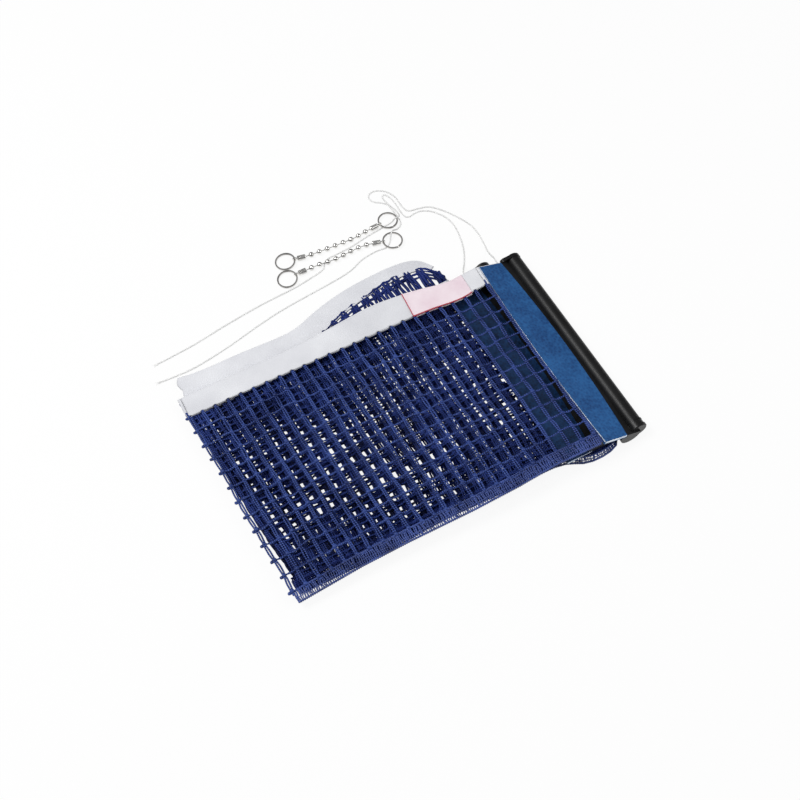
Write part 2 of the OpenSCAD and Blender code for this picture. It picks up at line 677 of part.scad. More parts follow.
tied_ring(front_ring_at);  // front_tied_ring
on_chain(front_ring_at, front_headings, 0) tied_connector();  // front_tied_connector
for (k = [1 : 8]) on_chain(front_ring_at, front_headings, k) chain_ball();
on_chain(front_ring_at, front_headings, 9) free_connector();  // front_free_connector
free_ring(front_ring_at, front_headings);  // front_free_ring
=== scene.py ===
"""Table tennis net, folded for storage: knotted net, knit hem, cloth tape, bare label, two end plates with
their post rods, a braided cord with two loose ends, and two ball chains with split rings.

Lengths are written in millimetres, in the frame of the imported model, and turned to metres where a mesh is
made. +X runs along the folded length, +Y towards the tape, +Z up."""

import math
from collections import namedtuple

import bpy
import numpy as np
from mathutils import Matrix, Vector, noise


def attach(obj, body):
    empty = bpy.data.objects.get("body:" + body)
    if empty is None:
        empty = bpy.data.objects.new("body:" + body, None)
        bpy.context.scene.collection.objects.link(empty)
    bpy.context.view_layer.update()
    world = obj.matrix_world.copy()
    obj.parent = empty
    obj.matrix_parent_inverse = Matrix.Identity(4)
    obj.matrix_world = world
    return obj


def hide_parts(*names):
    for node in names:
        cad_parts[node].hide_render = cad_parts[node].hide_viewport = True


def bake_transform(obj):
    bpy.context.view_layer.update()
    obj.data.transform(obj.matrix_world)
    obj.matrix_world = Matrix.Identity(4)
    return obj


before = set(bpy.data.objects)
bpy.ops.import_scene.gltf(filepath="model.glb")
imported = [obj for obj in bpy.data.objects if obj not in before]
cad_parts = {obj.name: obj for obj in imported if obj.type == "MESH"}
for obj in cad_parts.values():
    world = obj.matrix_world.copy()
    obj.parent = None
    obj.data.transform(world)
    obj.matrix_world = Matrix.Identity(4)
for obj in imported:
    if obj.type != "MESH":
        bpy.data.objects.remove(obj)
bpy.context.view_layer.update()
MM = 0.001
# Blender's vector noise takes the clock as its seed unless it is given one
noise.seed_set(7)

# ---- sizes of the pack, as the solids have them ----

FRONT_Y = -95.0
PLATE_Y = FRONT_Y + 1.7
HEM_Y = PLATE_Y + 0.2
NET_H = 157.3
TAPE_TOP_Y = HEM_Y + NET_H
TAPE_W = 15.0
TAPE_LOW_Y = TAPE_TOP_Y - TAPE_W
HEM_W = 8.0
MESH_LOW_Y = HEM_Y + HEM_W
RUN_T = 0.6
RUN_PITCH = 0.76
OUTER_FOLD_R = 1.5 * RUN_PITCH
INNER_FOLD_R = RUN_PITCH / 2
FOLD_X = -123.2 + OUTER_FOLD_R + RUN_T / 2
FOLD_SLANT = 6.6
TAPE_DRAW = 7.5
ROD_X, ROD_Z = 117.4, 5.8
ROD_SHIFT = 21.7
LOWER_ROD_X = ROD_X - ROD_SHIFT
LOWER_SHIFT = 3.0
PLATE_LEN, PLATE_T = 149.0, 2.2
PLATE_RIGHT, PLATE_LEFT = -11.3, -29.1
PLATE_BOW = 2.3
END_TILT = math.asin((ROD_Z + PLATE_T / 2 + 0.15) / ROD_SHIFT)
STRIP_LEFT, STRIP_RIGHT = PLATE_LEFT - PLATE_BOW - 0.2, -12.5
RUN_END = STRIP_LEFT - 0.25
TOP_RUN_X = ROD_X + RUN_END * math.cos(END_TILT)
TOP_LEFT_Z = RUN_T / 2 + 7 * RUN_PITCH
TOP_RISE = ROD_Z - RUN_END * math.sin(END_TILT) - TOP_LEFT_Z
TOP_TILT = math.atan(TOP_RISE / (TOP_RUN_X - FOLD_X))
TOP_LEN = (TOP_RUN_X - FOLD_X) / math.cos(TOP_TILT)
STACK_RIGHT_X = 71.96
CLOSING_X = 81.96
LOWER_RUN_X = LOWER_ROD_X + RUN_END
GAPS_LONG, GAPS_HIGH = 24, 12

# ---- small helpers ----


def run_z(k):
    """Middle height of folded run k; run 8 lies on the table."""
    return RUN_T / 2 + (8 - k) * RUN_PITCH


def slant_x(y):
    """How far the left fold has run to the right at a place across the net."""
    return FOLD_SLANT * (TAPE_TOP_Y - y) / NET_H


def arrays(*values):
    """Numbers or arrays as float arrays of one shape."""
    return np.broadcast_arrays(*(np.asarray(v, float) for v in values))


def xyz(x, y, z):
    """Points from their coordinates, which may be numbers or arrays."""
    return np.stack(arrays(x, y, z), axis=-1)


def step(edge0, edge1, x):
    """Smooth rise from 0 at one edge to 1 at the other."""
    t = np.clip((x - edge0) / (edge1 - edge0), 0, 1)
    return t * t * (3 - 2 * t)


def hump(x, middle, half):
    """Bell-shaped rise to 1 at its middle."""
    return math.exp(-(((x - middle) / half) ** 2))


def wobble(points, amount, wave, seed):
    """Soft seeded displacement of points, in millimetres."""
    shape = np.shape(points)
    flat = np.reshape(points, (-1, 3))
    shift = Vector((seed * 13.7, seed * 7.3, seed * 3.1))
    moved = [noise.noise_vector(Vector(p) / wave + shift) for p in flat]
    return (flat + np.array([list(v) for v in moved]) * amount).reshape(shape)


def srgb(hex_code):
    """An sRGB hex value as the linear colour that the shaders take."""
    parts = [int(hex_code[i:i + 2], 16) / 255 for i in (1, 3, 5)]
    return tuple(c / 12.92 if c <= 0.04045 else ((c + 0.055) / 1.055) ** 2.4 for c in parts) + (1.0,)


def add(tree, kind, inputs=None, stops=(), **settings):
    """Adds a node with its settings. An input is a value, a socket, or a node for its first output.

    stops are the places and colours of a ramp."""
    made = tree.nodes.new(kind)
    for key, value in settings.items():
        setattr(made, key, value)
    for key, value in (inputs or {}).items():
        if isinstance(value, bpy.types.Node):
            value = value.outputs[0]
        if isinstance(value, bpy.types.NodeSocket):
            tree.links.new(value, made.inputs[key])
        else:
            made.inputs[key].default_value = value
    for n, (place_on_ramp, colour) in enumerate(stops):
        made.color_ramp.elements[n].position = place_on_ramp
        made.color_ramp.elements[n].color = colour
    return made


def new_material(name):
    """An empty node material and its tree."""
    material = bpy.data.materials.new(name)
    material.use_nodes = True
    material.node_tree.nodes.clear()
    return material, material.node_tree


def finish(material, shader):
    """Joins a shader to its material's output."""
    add(material.node_tree, "ShaderNodeOutputMaterial", {"Surface": shader})
    return material


def place(name, data):
    """Links a mesh or other data as an object at the origin."""
    made = bpy.data.objects.new(name, data)
    bpy.context.scene.collection.objects.link(made)
    return made


def make_plain(piece, modifier):
    """Turns a piece with one modifier into a plain mesh."""
    bpy.context.view_layer.update()
    solid = bpy.data.meshes.new_from_object(piece.evaluated_get(bpy.context.evaluated_depsgraph_get()))
    piece.modifiers.remove(modifier)
    piece.data = solid
    solid.name = piece.name
    return solid


def stand_in(piece, node, body=None):
    """Sets a piece in the place of a node's solid and on the body that it rides."""
    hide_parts(node)
    if body:
        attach(piece, body)


# ---- camera ----

camera_data = bpy.data.cameras.new("Camera")
camera = place("Camera", camera_data)
bpy.context.scene.camera = camera
camera_data.sensor_width = 36
camera_data.lens = 54
CAMERA_AT = Vector((-183.55, -336.4, 650.3)) * MM
CAMERA_AIM = Vector((0.54, 0.38, 0)) * MM
camera.location = CAMERA_AT
camera.rotation_euler = (CAMERA_AIM - CAMERA_AT).to_track_quat("-Z", "Y").to_euler()

# ---- materials ----
# a noise's Scale is its number of spots per metre; it is written here as spots per millimetre over MM


def twine_material(name, dark, light, roughness, shine, twist=1.0):
    """Polyester twine, dyed in the fibre and twisted: a soft gloss with a fine slanting ply, its turns
    painted lighter and darker as a painted highlight.
    """
    material, tree = new_material(name)
    spot = add(tree, "ShaderNodeTexCoord").outputs
    uv = add(tree, "ShaderNodeSeparateXYZ", {0: spot["UV"]}).outputs
    # one turn of the ply every 1.4 mm
    turn = add(tree, "ShaderNodeMath", {0: uv["X"], 1: 1 / (1.4 * MM)}, operation="MULTIPLY")
    lean = add(tree, "ShaderNodeMath", {0: turn, 1: uv["Y"]}, operation="ADD")
    angle = add(tree, "ShaderNodeMath", {0: lean, 1: 2 * math.pi}, operation="MULTIPLY")
    ply = add(tree, "ShaderNodeMath", {0: angle}, operation="SINE")
    fibre = add(tree, "ShaderNodeTexNoise", {"Vector": spot["Object"], "Scale": 0.9 / MM, "Detail": 3})
    patch = add(tree, "ShaderNodeTexNoise", {"Vector": spot["Object"], "Scale": 0.07 / MM, "Detail": 2})
    # the ply's turns are painted lighter and darker into the colour: painted highlight; the large patches are
    # random tone
    ply_highlight_and_patches = add(tree, "ShaderNodeMath", {0: ply, 1: 0.16 * twist, 2: patch}, operation="MULTIPLY_ADD")
    mixed = add(tree, "ShaderNodeMath", {0: fibre, 1: 0.35, 2: ply_highlight_and_patches}, operation="MULTIPLY_ADD")
    dye_and_ply_highlight = add(tree, "ShaderNodeValToRGB", {0: mixed}, stops=((0.35, srgb(dark)), (1.0, srgb(light))))
    height = add(tree, "ShaderNodeMath", {0: fibre, 1: 0.5, 2: ply}, operation="MULTIPLY_ADD")
    bump = add(tree, "ShaderNodeBump", {"Height": height, "Strength": 0.6,
                                        "Distance": 0.08 * min(twist, 1) * MM})
    return finish(material, add(tree, "ShaderNodeBsdfPrincipled", {
        "Base Color": dye_and_ply_highlight, "Roughness": roughness, "Specular IOR Level": shine, "Normal": bump}))


def cloth_material(name, low, high, thread_mm, roughness, sheen):
    """Plain-woven cotton and polyester: over and under threads, fuzz, and a little yellowing in patches."""
    material, tree = new_material(name)
    spot = add(tree, "ShaderNodeTexCoord").outputs
    warp, weft = (add(tree, "ShaderNodeTexWave", {"Vector": spot["Object"], "Distortion": 1.2, "Detail": 1.0,
                                                  "Scale": 0.31 / (thread_mm * MM) / 2},
                      wave_type="BANDS", bands_direction=way).outputs["Fac"] for way in "XY")
    weave = add(tree, "ShaderNodeMath", {0: warp, 1: weft}, operation="MULTIPLY")
    patch = add(tree, "ShaderNodeTexNoise", {"Vector": spot["Object"], "Scale": 0.045 / MM, "Detail": 4})
    tone = add(tree, "ShaderNodeValToRGB", {0: patch}, stops=((0.3, srgb(low)), (0.7, srgb(high))))
    soft = add(tree, "ShaderNodeTexNoise", {"Vector": spot["Object"], "Scale": 0.26 / MM, "Detail": 3})
    height = add(tree, "ShaderNodeMath", {0: soft, 1: 2.0, 2: weave}, operation="MULTIPLY_ADD")
    bump = add(tree, "ShaderNodeBump", {"Height": height, "Strength": 0.5, "Distance": 0.12 * MM})
    return finish(material, add(tree, "ShaderNodeBsdfPrincipled", {
        "Base Color": tone, "Roughness": roughness, "Normal": bump,
        "Sheen Weight": sheen, "Sheen Roughness": 0.5}))


def label_material():
    """Satin label ribbon, white with a rosy cast, and a plain red thread along its edges."""
    material, tree = new_material("Satin label ribbon")
    spot = add(tree, "ShaderNodeTexCoord").outputs
    uv = add(tree, "ShaderNodeSeparateXYZ", {0: spot["UV"]}).outputs
    satin = add(tree, "ShaderNodeTexWave", {"Vector": spot["UV"], "Scale": 60, "Distortion": 0.6},
                wave_type="BANDS", bands_direction="Y")
    patch = add(tree, "ShaderNodeTexNoise", {"Vector": spot["Object"], "Scale": 0.06 / MM, "Detail": 3})
    ground = add(tree, "ShaderNodeValToRGB", {0: patch},
                 stops=((0.3, srgb("#E5CFD9")), (0.7, srgb("#F2E4EA"))))
    # UV: X is 0 to 1 along the label, Y is 0 at its lower front edge
    side = add(tree, "ShaderNodeMath", {0: uv["X"], 1: 0.014}, operation="LESS_THAN")
    foot = add(tree, "ShaderNodeMath", {0: uv["Y"], 1: 0.022}, operation="LESS_THAN")
    edge = add(tree, "ShaderNodeMath", {0: side, 1: foot}, operation="MAXIMUM")
    colour = add(tree, "ShaderNodeMix", {0: edge, 6: ground, 7: srgb("#B4384A")}, data_type="RGBA")
    bump = add(tree, "ShaderNodeBump", {"Height": satin.outputs["Fac"], "Strength": 0.3,
                                        "Distance": 0.05 * MM})
    return finish(material, add(tree, "ShaderNodeBsdfPrincipled", {
        "Base Color": colour.outputs[2], "Roughness": 0.42, "Normal": bump,
        "Sheen Weight": 0.2, "Sheen Roughness": 0.3}))


def hammered_paint(name, low, high):
    """Hammer-finish enamel on sheet steel: shallow dimples about 1.5 mm apart, silvery in the blue."""
    material, tree = new_material(name)
    spot = add(tree, "ShaderNodeTexCoord").outputs
    bend = add(tree, "ShaderNodeTexNoise", {"Vector": spot["Object"], "Scale": 0.3 / MM, "Detail": 2})
    mix = add(tree, "ShaderNodeMix", {0: 0.0015, 4: spot["Object"], 5: bend.outputs["Color"]},
              data_type="VECTOR")
    dimple = add(tree, "ShaderNodeTexVoronoi", {"Vector": mix.outputs[1], "Scale": 0.56 / MM,
                                                "Smoothness": 0.6}, feature="SMOOTH_F1")
    patch = add(tree, "ShaderNodeTexNoise", {"Vector": spot["Object"], "Scale": 0.055 / MM, "Detail": 4})
    tone = add(tree, "ShaderNodeMath", {0: dimple.outputs["Distance"], 1: 0.55, 2: patch},
               operation="MULTIPLY_ADD")
    paint = add(tree, "ShaderNodeValToRGB", {0: tone}, stops=((0.45, srgb(low)), (1.05 / 1.1, srgb(high))))
    bump = add(tree, "ShaderNodeBump", {"Height": dimple.outputs["Distance"], "Strength": 0.5,
                                        "Distance": 0.25 * MM})
    return finish(material, add(tree, "ShaderNodeBsdfPrincipled", {
        "Base Color": paint, "Roughness": 0.42, "Metallic": 0.15, "Normal": bump,
        "Specular IOR Level": 0.35, "Coat Weight": 0.1, "Coat Roughness": 0.3}))


def black_plastic(name, roughness, grain_mm, grain_height):
    """Black moulded or extruded polymer: a fine grain and a soft, broad highlight."""
    material, tree = new_material(name)
    spot = add(tree, "ShaderNodeTexCoord").outputs
    grain = add(tree, "ShaderNodeTexNoise", {"Vector": spot["Object"], "Scale": 1 / (grain_mm * MM),
                                             "Detail": 4})
    patch = add(tree, "ShaderNodeTexNoise", {"Vector": spot["Object"], "Scale": 0.06 / MM, "Detail": 3})
    tone = add(tree, "ShaderNodeValToRGB", {0: patch},
               stops=((0.35, srgb("#070708")), (0.75, srgb("#1A1A1B"))))
    rough = add(tree, "ShaderNodeMapRange", {0: grain, 1: 0.3, 2: 0.7,
                                             3: roughness - 0.06, 4: roughness + 0.08})
    bump = add(tree, "ShaderNodeBump", {"Height": grain, "Strength": 0.4, "Distance": grain_height * MM})
    return finish(material, add(tree, "ShaderNodeBsdfPrincipled", {
        "Base Color": tone, "Roughness": rough, "Specular IOR Level": 0.3, "Normal": bump}))


def nickel_plate(name, tint, bright, roughness):
    """Nickel plating on drawn brass and steel: bright, faintly warm, with hairline drawing marks."""
    material, tree = new_material(name)
    spot = add(tree, "ShaderNodeTexCoord").outputs
    marks = add(tree, "ShaderNodeTexNoise", {"Vector": spot["Object"], "Scale": 1.5 / MM, "Detail": 3})
    patch = add(tree, "ShaderNodeTexNoise", {"Vector": spot["Object"], "Scale": 0.15 / MM, "Detail": 2})
    tone = add(tree, "ShaderNodeValToRGB", {0: patch}, stops=((0.3, srgb(tint)), (0.6, srgb(bright))))
    rough = add(tree, "ShaderNodeMapRange", {0: marks, 1: 0.3, 2: 0.7,
                                             3: roughness * 0.7, 4: roughness * 1.4})
    bump = add(tree, "ShaderNodeBump", {"Height": marks, "Strength": 0.2, "Distance": 0.01 * MM})
    return finish(material, add(tree, "ShaderNodeBsdfPrincipled", {
        "Base Color": tone, "Roughness": rough, "Metallic": 1.0, "Normal": bump}))


NAVY_TWINE = twine_material("Navy polyester twine", "#081440", "#3D559E", 0.42, 0.25, twist=2.2)
# the runs inside the pack are given darker colours than the top run, the deeper the darker: painted shade
NEAR_SHADED_TWINE = twine_material("Navy polyester twine, runs next to the top, painted shade", "#060E36", "#31458C", 0.45, 0.12,
                            twist=1.7)
LOOSE_SHADED_TWINE = twine_material("Navy polyester twine, loose runs, painted shade", "#060D34", "#26367C", 0.45, 0.12)
DEEP_SHADED_TWINE = twine_material("Navy polyester twine, inner runs, painted shade", "#01030F", "#111E58", 0.5, 0.08)
NAVY_KNIT = twine_material("Navy polyester knit", "#060D34", "#4B60A8", 0.38, 0.3)
# the inner runs' knit is given a darker colour than the top hem's: painted shade
DEEP_SHADED_KNIT = twine_material("Navy polyester knit, inner runs, painted shade", "#050B2E", "#22337A", 0.45, 0.15)
TAPE_CLOTH = cloth_material("White cotton tape", "#D3D4D9", "#E1E2E6", 0.5, 0.85, 0.1)
CORD_BRAID = twine_material("White nylon braid", "#DEDEDD", "#EBEBEA", 0.6, 0.2, twist=0.0)
LABEL_SATIN = label_material()
PLATE_PAINT = hammered_paint("Blue hammer-finish enamel", "#154076", "#2A629E")
# the lower plate's enamel is given a darker blue than the upper plate's: painted shade from the pack above it
SHADED_PAINT = hammered_paint("Blue hammer-finish enamel, painted shade", "#07203F", "#163C6A")
ROD_BLACK = black_plastic("Black extruded rod", 0.42, 0.6, 0.03)
CAP_BLACK = black_plastic("Black moulded nylon", 0.36, 0.3, 0.04)
BARE_STEEL = nickel_plate("Bare steel on worn edges", "#A9BCD0", "#E6ECF2", 0.45)
BALL_NICKEL = nickel_plate("Nickel-plated ball chain", "#BEBDBA", "#F4F3F0", 0.14)
RING_NICKEL = nickel_plate("Nickel-plated ring wire", "#807E7C", "#CFCDCA", 0.2)

# ---- swept twine: one tree for threads, knots, the hem's knit and the braid ----


def make_twine_tree():
    """Sweeps every edge line with a round or flattened thread, and sets a knot on each marked point.

    Points carry thick, the thread's share of the radius, and knot, the knot's share of its size."""
    tree = bpy.data.node_groups.new("Twine and knots", "GeometryNodeTree")
    for name, kind in (("Geometry", "Geometry"), ("Thread radius", "Float"), ("Flatness", "Float"),
                       ("Sides", "Int"), ("Knot size", "Vector"), ("Knot lumps", "Float"), ("Seed", "Int"),
                       ("Material", "Material")):
        tree.interface.new_socket(name=name, in_out="INPUT", socket_type="NodeSocket" + kind)
    tree.interface.new_socket(name="Geometry", in_out="OUTPUT", socket_type="NodeSocketGeometry")
    entry = add(tree, "NodeGroupInput").outputs
    thick, knot, u, v = (add(tree, "GeometryNodeInputNamedAttribute", {"Name": name}, data_type="FLOAT")
                         for name in ("thick", "knot", "along", "around"))
    # threads: the UV map holds the length along a thread and the share of the way round it
    lines = add(tree, "GeometryNodeMeshToCurve", {"Mesh": entry["Geometry"]})
    radius = add(tree, "ShaderNodeMath", {0: thick, 1: entry["Thread radius"]}, operation="MULTIPLY")
    level = add(tree, "GeometryNodeSetCurveNormal", {"Curve": lines}, mode="Z_UP")
    along = add(tree, "GeometryNodeSplineParameter").outputs["Length"]
    marked = add(tree, "GeometryNodeStoreNamedAttribute",
                 {"Geometry": level, "Name": "along", "Value": along}, data_type="FLOAT", domain="POINT")
    circle = add(tree, "GeometryNodeCurvePrimitiveCircle", {"Resolution": entry["Sides"], "Radius": 1.0})
    squeeze = add(tree, "ShaderNodeCombineXYZ", {"X": 1.0, "Y": entry["Flatness"], "Z": 1.0})
    oval = add(tree, "GeometryNodeTransform", {"Geometry": circle, "Scale": squeeze})
    around = add(tree, "GeometryNodeSplineParameter").outputs["Factor"]
    ring = add(tree, "GeometryNodeStoreNamedAttribute",
               {"Geometry": oval, "Name": "around", "Value": around}, data_type="FLOAT", domain="POINT")
    swept = add(tree, "GeometryNodeCurveToMesh", {"Curve": marked, "Profile Curve": ring, "Scale": radius,
                                                  "Fill Caps": True})
    pair = add(tree, "ShaderNodeCombineXYZ", {"X": u, "Y": v})
    mapped = add(tree, "GeometryNodeStoreNamedAttribute",
                 {"Geometry": swept, "Name": "UVMap", "Value": pair}, data_type="FLOAT2", domain="CORNER")
    # knots: a lumpy ball of a few faces, turned a little at random
    ball = add(tree, "GeometryNodeMeshUVSphere", {"Segments": 7, "Rings": 5, "Radius": 1.0})
    bumps = add(tree, "ShaderNodeTexNoise", {"Scale": 1.7, "Detail": 1.0})
    normal = add(tree, "GeometryNodeInputNormal")
    grow = add(tree, "ShaderNodeMath", {0: bumps, 1: 0.5}, operation="SUBTRACT")
    grown = add(tree, "ShaderNodeMath", {0: grow, 1: entry["Knot lumps"]}, operation="MULTIPLY")
    out = add(tree, "ShaderNodeVectorMath", {0: normal, "Scale": grown}, operation="SCALE")
    lumpy = add(tree, "GeometryNodeSetPosition", {"Geometry": ball, "Offset": out})
    shaped = add(tree, "GeometryNodeTransform", {"Geometry": lumpy, "Scale": entry["Knot size"]})
    tied = add(tree, "FunctionNodeCompare", {0: knot, 1: 0.01}, data_type="FLOAT", operation="GREATER_THAN")
    spin = add(tree, "FunctionNodeRandomValue",
               {0: (-0.25, -0.25, -0.5), 1: (0.25, 0.25, 0.5), "Seed": entry["Seed"]},
               data_type="FLOAT_VECTOR")
    knots = add(tree, "GeometryNodeInstanceOnPoints",
                {"Points": entry["Geometry"], "Selection": tied, "Instance": shaped, "Rotation": spin,
                 "Scale": knot})
    both = add(tree, "GeometryNodeJoinGeometry")
    for part in (knots, mapped):
        tree.links.new(part.outputs[0], both.inputs[0])
    real = add(tree, "GeometryNodeRealizeInstances", {"Geometry": both})
    shaded = add(tree, "GeometryNodeSetShadeSmooth", {"Geometry": real})
    done = add(tree, "GeometryNodeSetMaterial", {"Geometry": shaded, "Material": entry["Material"]})
    add(tree, "NodeGroupOutput", {"Geometry": done})
    return tree


TWINE_TREE = make_twine_tree()


class Lines:
    """Edge lines for the twine tree, gathered for one piece."""

    def __init__(self):
        self.points, self.edges, self.thick, self.knot = [], [], [], []

    def add(self, points, thick=1.0, knot=None):
        start = len(self.points)
        count = len(points)
        self.points.extend(np.asarray(points) * MM)
        self.edges.extend((start + i, start + i + 1) for i in range(count - 1))
        self.thick.extend([thick] * count if np.isscalar(thick) else list(thick))
        self.knot.extend([0.0] * count if knot is None else list(knot))

    def keep_above(self, lowest):
        """Lifts what would sink into the table."""
        for point in self.points:
            point[2] = max(point[2], lowest * MM)

    def sweep(self, name, radius, material, flat=1.0, sides=6, knot_size=(1, 1, 1), lumps=0.5, seed=1):
        """The swept threads and knots as one plain mesh."""
        data = bpy.data.meshes.new(name)
        data.from_pydata([tuple(p) for p in self.points], self.edges, [])
        for key, values in (("thick", self.thick), ("knot", self.knot)):
            data.attributes.new(key, "FLOAT", "POINT").data.foreach_set("value", values)
        piece = place(name, data)
        maker = piece.modifiers.new("Twine", "NODES")
        maker.node_group = TWINE_TREE
        values = {"Thread radius": radius * MM, "Flatness": flat, "Sides": sides,
                  "Knot size": [s * MM for s in knot_size], "Knot lumps": lumps, "Seed": seed,
                  "Material": material}
        for socket in TWINE_TREE.interface.items_tree:
            if socket.in_out == "INPUT" and socket.name in values:
                maker[socket.identifier] = values[socket.name]
        solid = make_plain(piece, maker)
        for spare in ("thick", "knot", "along", "around"):
            if spare in solid.attributes:
                solid.attributes.remove(solid.attributes[spare])
        return piece


def grid_piece(name, points, material, thickness=0.0):
    """A sheet from a grid of points, rows along the length, made solid to its cloth's thickness."""
    rows, columns = points.shape[:2]
    faces = [(i * columns + j, i * columns + j + 1, (i + 1) * columns + j + 1, (i + 1) * columns + j)
             for i in range(rows - 1) for j in range(columns - 1)]
    data = bpy.data.meshes.new(name)
    data.from_pydata((points.reshape(-1, 3) * MM).tolist(), [], faces)
    layer = data.uv_layers.new(name="UVMap")
    for loop in data.loops:
        i, j = divmod(loop.vertex_index, columns)
        layer.data[loop.index].uv = (i / (rows - 1), j / (columns - 1))
    data.materials.append(material)
    piece = place(name, data)
    if thickness:
        wall = piece.modifiers.new("Thickness", "SOLIDIFY")
        wall.thickness = thickness * MM
        wall.offset = 0
        make_plain(piece, wall)
    piece.data.polygons.foreach_set("use_smooth", [True] * len(piece.data.polygons))
    piece.data.update()
    return piece


# ---- the cords ----

CORD_R = 0.5
# the routes of the two free ends from where they leave the net: x, y and, off the table, z
LOWER_CORD = [
    (82.7, 59.7, 5.8), (82.7, 61.7, 5.8), (83.4, 64, 5.3), (85, 66.7, 3.9), (87.2, 69.8, 2),
    (90, 73.8, 0.7), (93.6, 79.9), (96.7, 87.6), (99.1, 97.4), (99.9, 105.9), (98, 114.4), (92.5, 122.6),
    (86, 126.6), (80.5, 126.8), (76.6, 126), (74, 127.8), (73.4, 132.8), (73.6, 140.8), (72.9, 147.3),
    (70.8, 151.6), (68.6, 150.8), (68, 147.4, 0.8), (68.3, 143.3, 1.7), (68.9, 138.3, 0.6), (69.4, 131.8),
    (69.2, 125.4), (67.2, 122.1), (63.8, 120.4, 0.7), (61.2, 119.8, 2.2), (58.8, 118.6, 3.4),
    (57, 116.6, 2.7), (55.2, 114.2, 0.9), (53, 111.8), (49.5, 110), (42, 110.6), (30.5, 108.8), (14, 103.2),
    (-31, 98), (-54, 93.8), (-78, 88.2), (-104, 84), (-125.9, 84.4)]
UPPER_CORD = [
    (105.1, 56.7, 10), (105.1, 58.7, 10), (105.9, 62.4, 8.7), (106.9, 66.4, 5.6), (107.9, 70.9, 2.4),
    (108.8, 75.4, 0.7), (109.9, 81.4), (110.8, 89.7), (110.1, 99.4), (105.4, 110.2), (99.5, 120),
    (92.6, 127.2), (84.5, 129.6), (79, 130.6), (76.8, 133.8), (76.4, 140.3), (76, 147.3), (72.4, 154.2),
    (66.8, 157.6), (61.6, 157), (59.5, 153.4), (61.2, 149.2), (66, 145.6), (69.6, 140.8), (71, 134.8),
    (70.9, 130.4, 0.9), (69.2, 128.1, 3), (67.6, 127.8, 3.4), (65.8, 127.7, 2.9), (63.4, 127.4, 1.1),
    (60, 127), (44, 124.9), (28, 122), (11.4, 120.8), (7.4, 118.8), (5.4, 115.6), (1.6, 113.4),
    (-19, 109.8), (-44, 108), (-72, 104.4), (-98, 100.2), (-122, 98)]
# the upper cord's end comes off its plate here and lies still on the table from there
FIBRES, FIBRE_R, FIBRE_LEN, FIBRE_SPREAD = 9, 0.13, 3.2, 0.9


def curve_through(route, spacing):
    """Smooth line through a route's points, sampled about every spacing millimetres."""
    p = np.array([(x, y, z[0] if z else CORD_R) for x, y, *z in route[:1] + route + route[-1:]])
    out = []
    for a, b, c, d in zip(p, p[1:], p[2:], p[3:]):
        steps = max(2, int(np.linalg.norm(c - b) / spacing))
        for t in np.arange(steps) / steps:
            out.append(0.5 * (2 * b + (c - a) * t + (2 * a - 5 * b + 4 * c - d) * t * t
                              + (3 * b - a - 3 * c + d) * t ** 3))
    out.append(p[-2])
    line = np.array(out)
    line[:, 2] = np.maximum(line[:, 2], CORD_R)
    return line


def frayed_end(name, line):
    """Loose fibres that fan out past the cord's end and droop to the table."""
    tuft = Lines()
    tip, way = line[-1], line[-1] - line[-4]
    way /= np.linalg.norm(way)
    side = np.array([-way[1], way[0], 0])
    middle = (FIBRES - 1) / 2
    for n in range(FIBRES):
        reach = FIBRE_LEN + 1.6 * math.cos(n * 2.4)
        t = np.linspace(0, 1, 7)[:, None]
        fan = (n - middle) / middle * (0.25 + FIBRE_SPREAD * t ** 1.6)
        fibre = tip + way * (t * reach - 0.8) + side * fan
        fibre[:, 2] = 0.2 + (0.3 + 0.25 * math.sin(n * 1.9)) * (1 - t[:, 0] * 0.6)
        tuft.add(fibre, thick=np.linspace(1, 0.55, 7))
    return tuft.sweep(name, FIBRE_R, CORD_BRAID, sides=4)


def make_cord(name, node, route, body_a, body_b=None):
    line = curve_through(route, 1.6)
    lines = Lines()
    lines.add(line)
    cord = lines.sweep(name, CORD_R, CORD_BRAID, sides=8)
    frayed = frayed_end(name + "_frayed_end", line)
    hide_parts(node)
    if body_b:
        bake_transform(cord)
    else:
        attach(cord, body_a)
    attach(frayed, "folded_net")


make_cord("lower_cord_end", "cord_from_lower_end", LOWER_CORD, "folded_net")
make_cord("upper_cord_end", "cord_from_upper_end", UPPER_CORD, "upper_end", "folded_net")

# ---- the top run of net ----

# beside the plate the edge at the tape sags: how far, and where along the run and over what half width
TAPE_SAG, SAG_X, SAG_HALF = 2.2, 188, 15
# how far below the tape the sag starts, and where it is full
SAG_START, SAG_FULL = 30, 5
# how far the slack hem is drawn in at places along the run
HEM_INSET = [(0, 0.3), (48, 2.2), (78, 2.0), (122, 0.6), (152, 0.6), (178, 1.7), (TOP_LEN, 0.2)]


def top_frame(x, y, up=0.0):
    """Places points given in the climbing plane of the top run, whose tape edge sags beside the plate."""
    y = y - TAPE_SAG * np.exp(-((x - SAG_X) / SAG_HALF) ** 2) * step(TAPE_LOW_Y - SAG_START,
                                                                  TAPE_LOW_Y - SAG_FULL, y)
    return xyz(FOLD_X + x * math.cos(TOP_TILT) - up * math.sin(TOP_TILT), y,
               TOP_LEFT_Z + x * math.sin(TOP_TILT) + up * math.cos(TOP_TILT))


def hem_inset(x):
    return np.interp(x, *zip(*HEM_INSET))


def top_point(s, t):
    """s runs from the fold to the plate, t from the hem to the tape."""
    s, t = arrays(s, t)
    y = MESH_LOW_Y + t * (TAPE_LOW_Y - MESH_LOW_Y)
    x = slant_x(y) + s * (TOP_LEN - slant_x(y))
    return top_frame(x, y - t * s * TAPE_DRAW + (1 - t) * hem_inset(x))


# points of a thread in each gap
STEPS = 5
# the fine unevenness of every thread, on top of a run's own: how far, and over what length
FINE_WOBBLE, FINE_WAVE = 0.22, 3.5
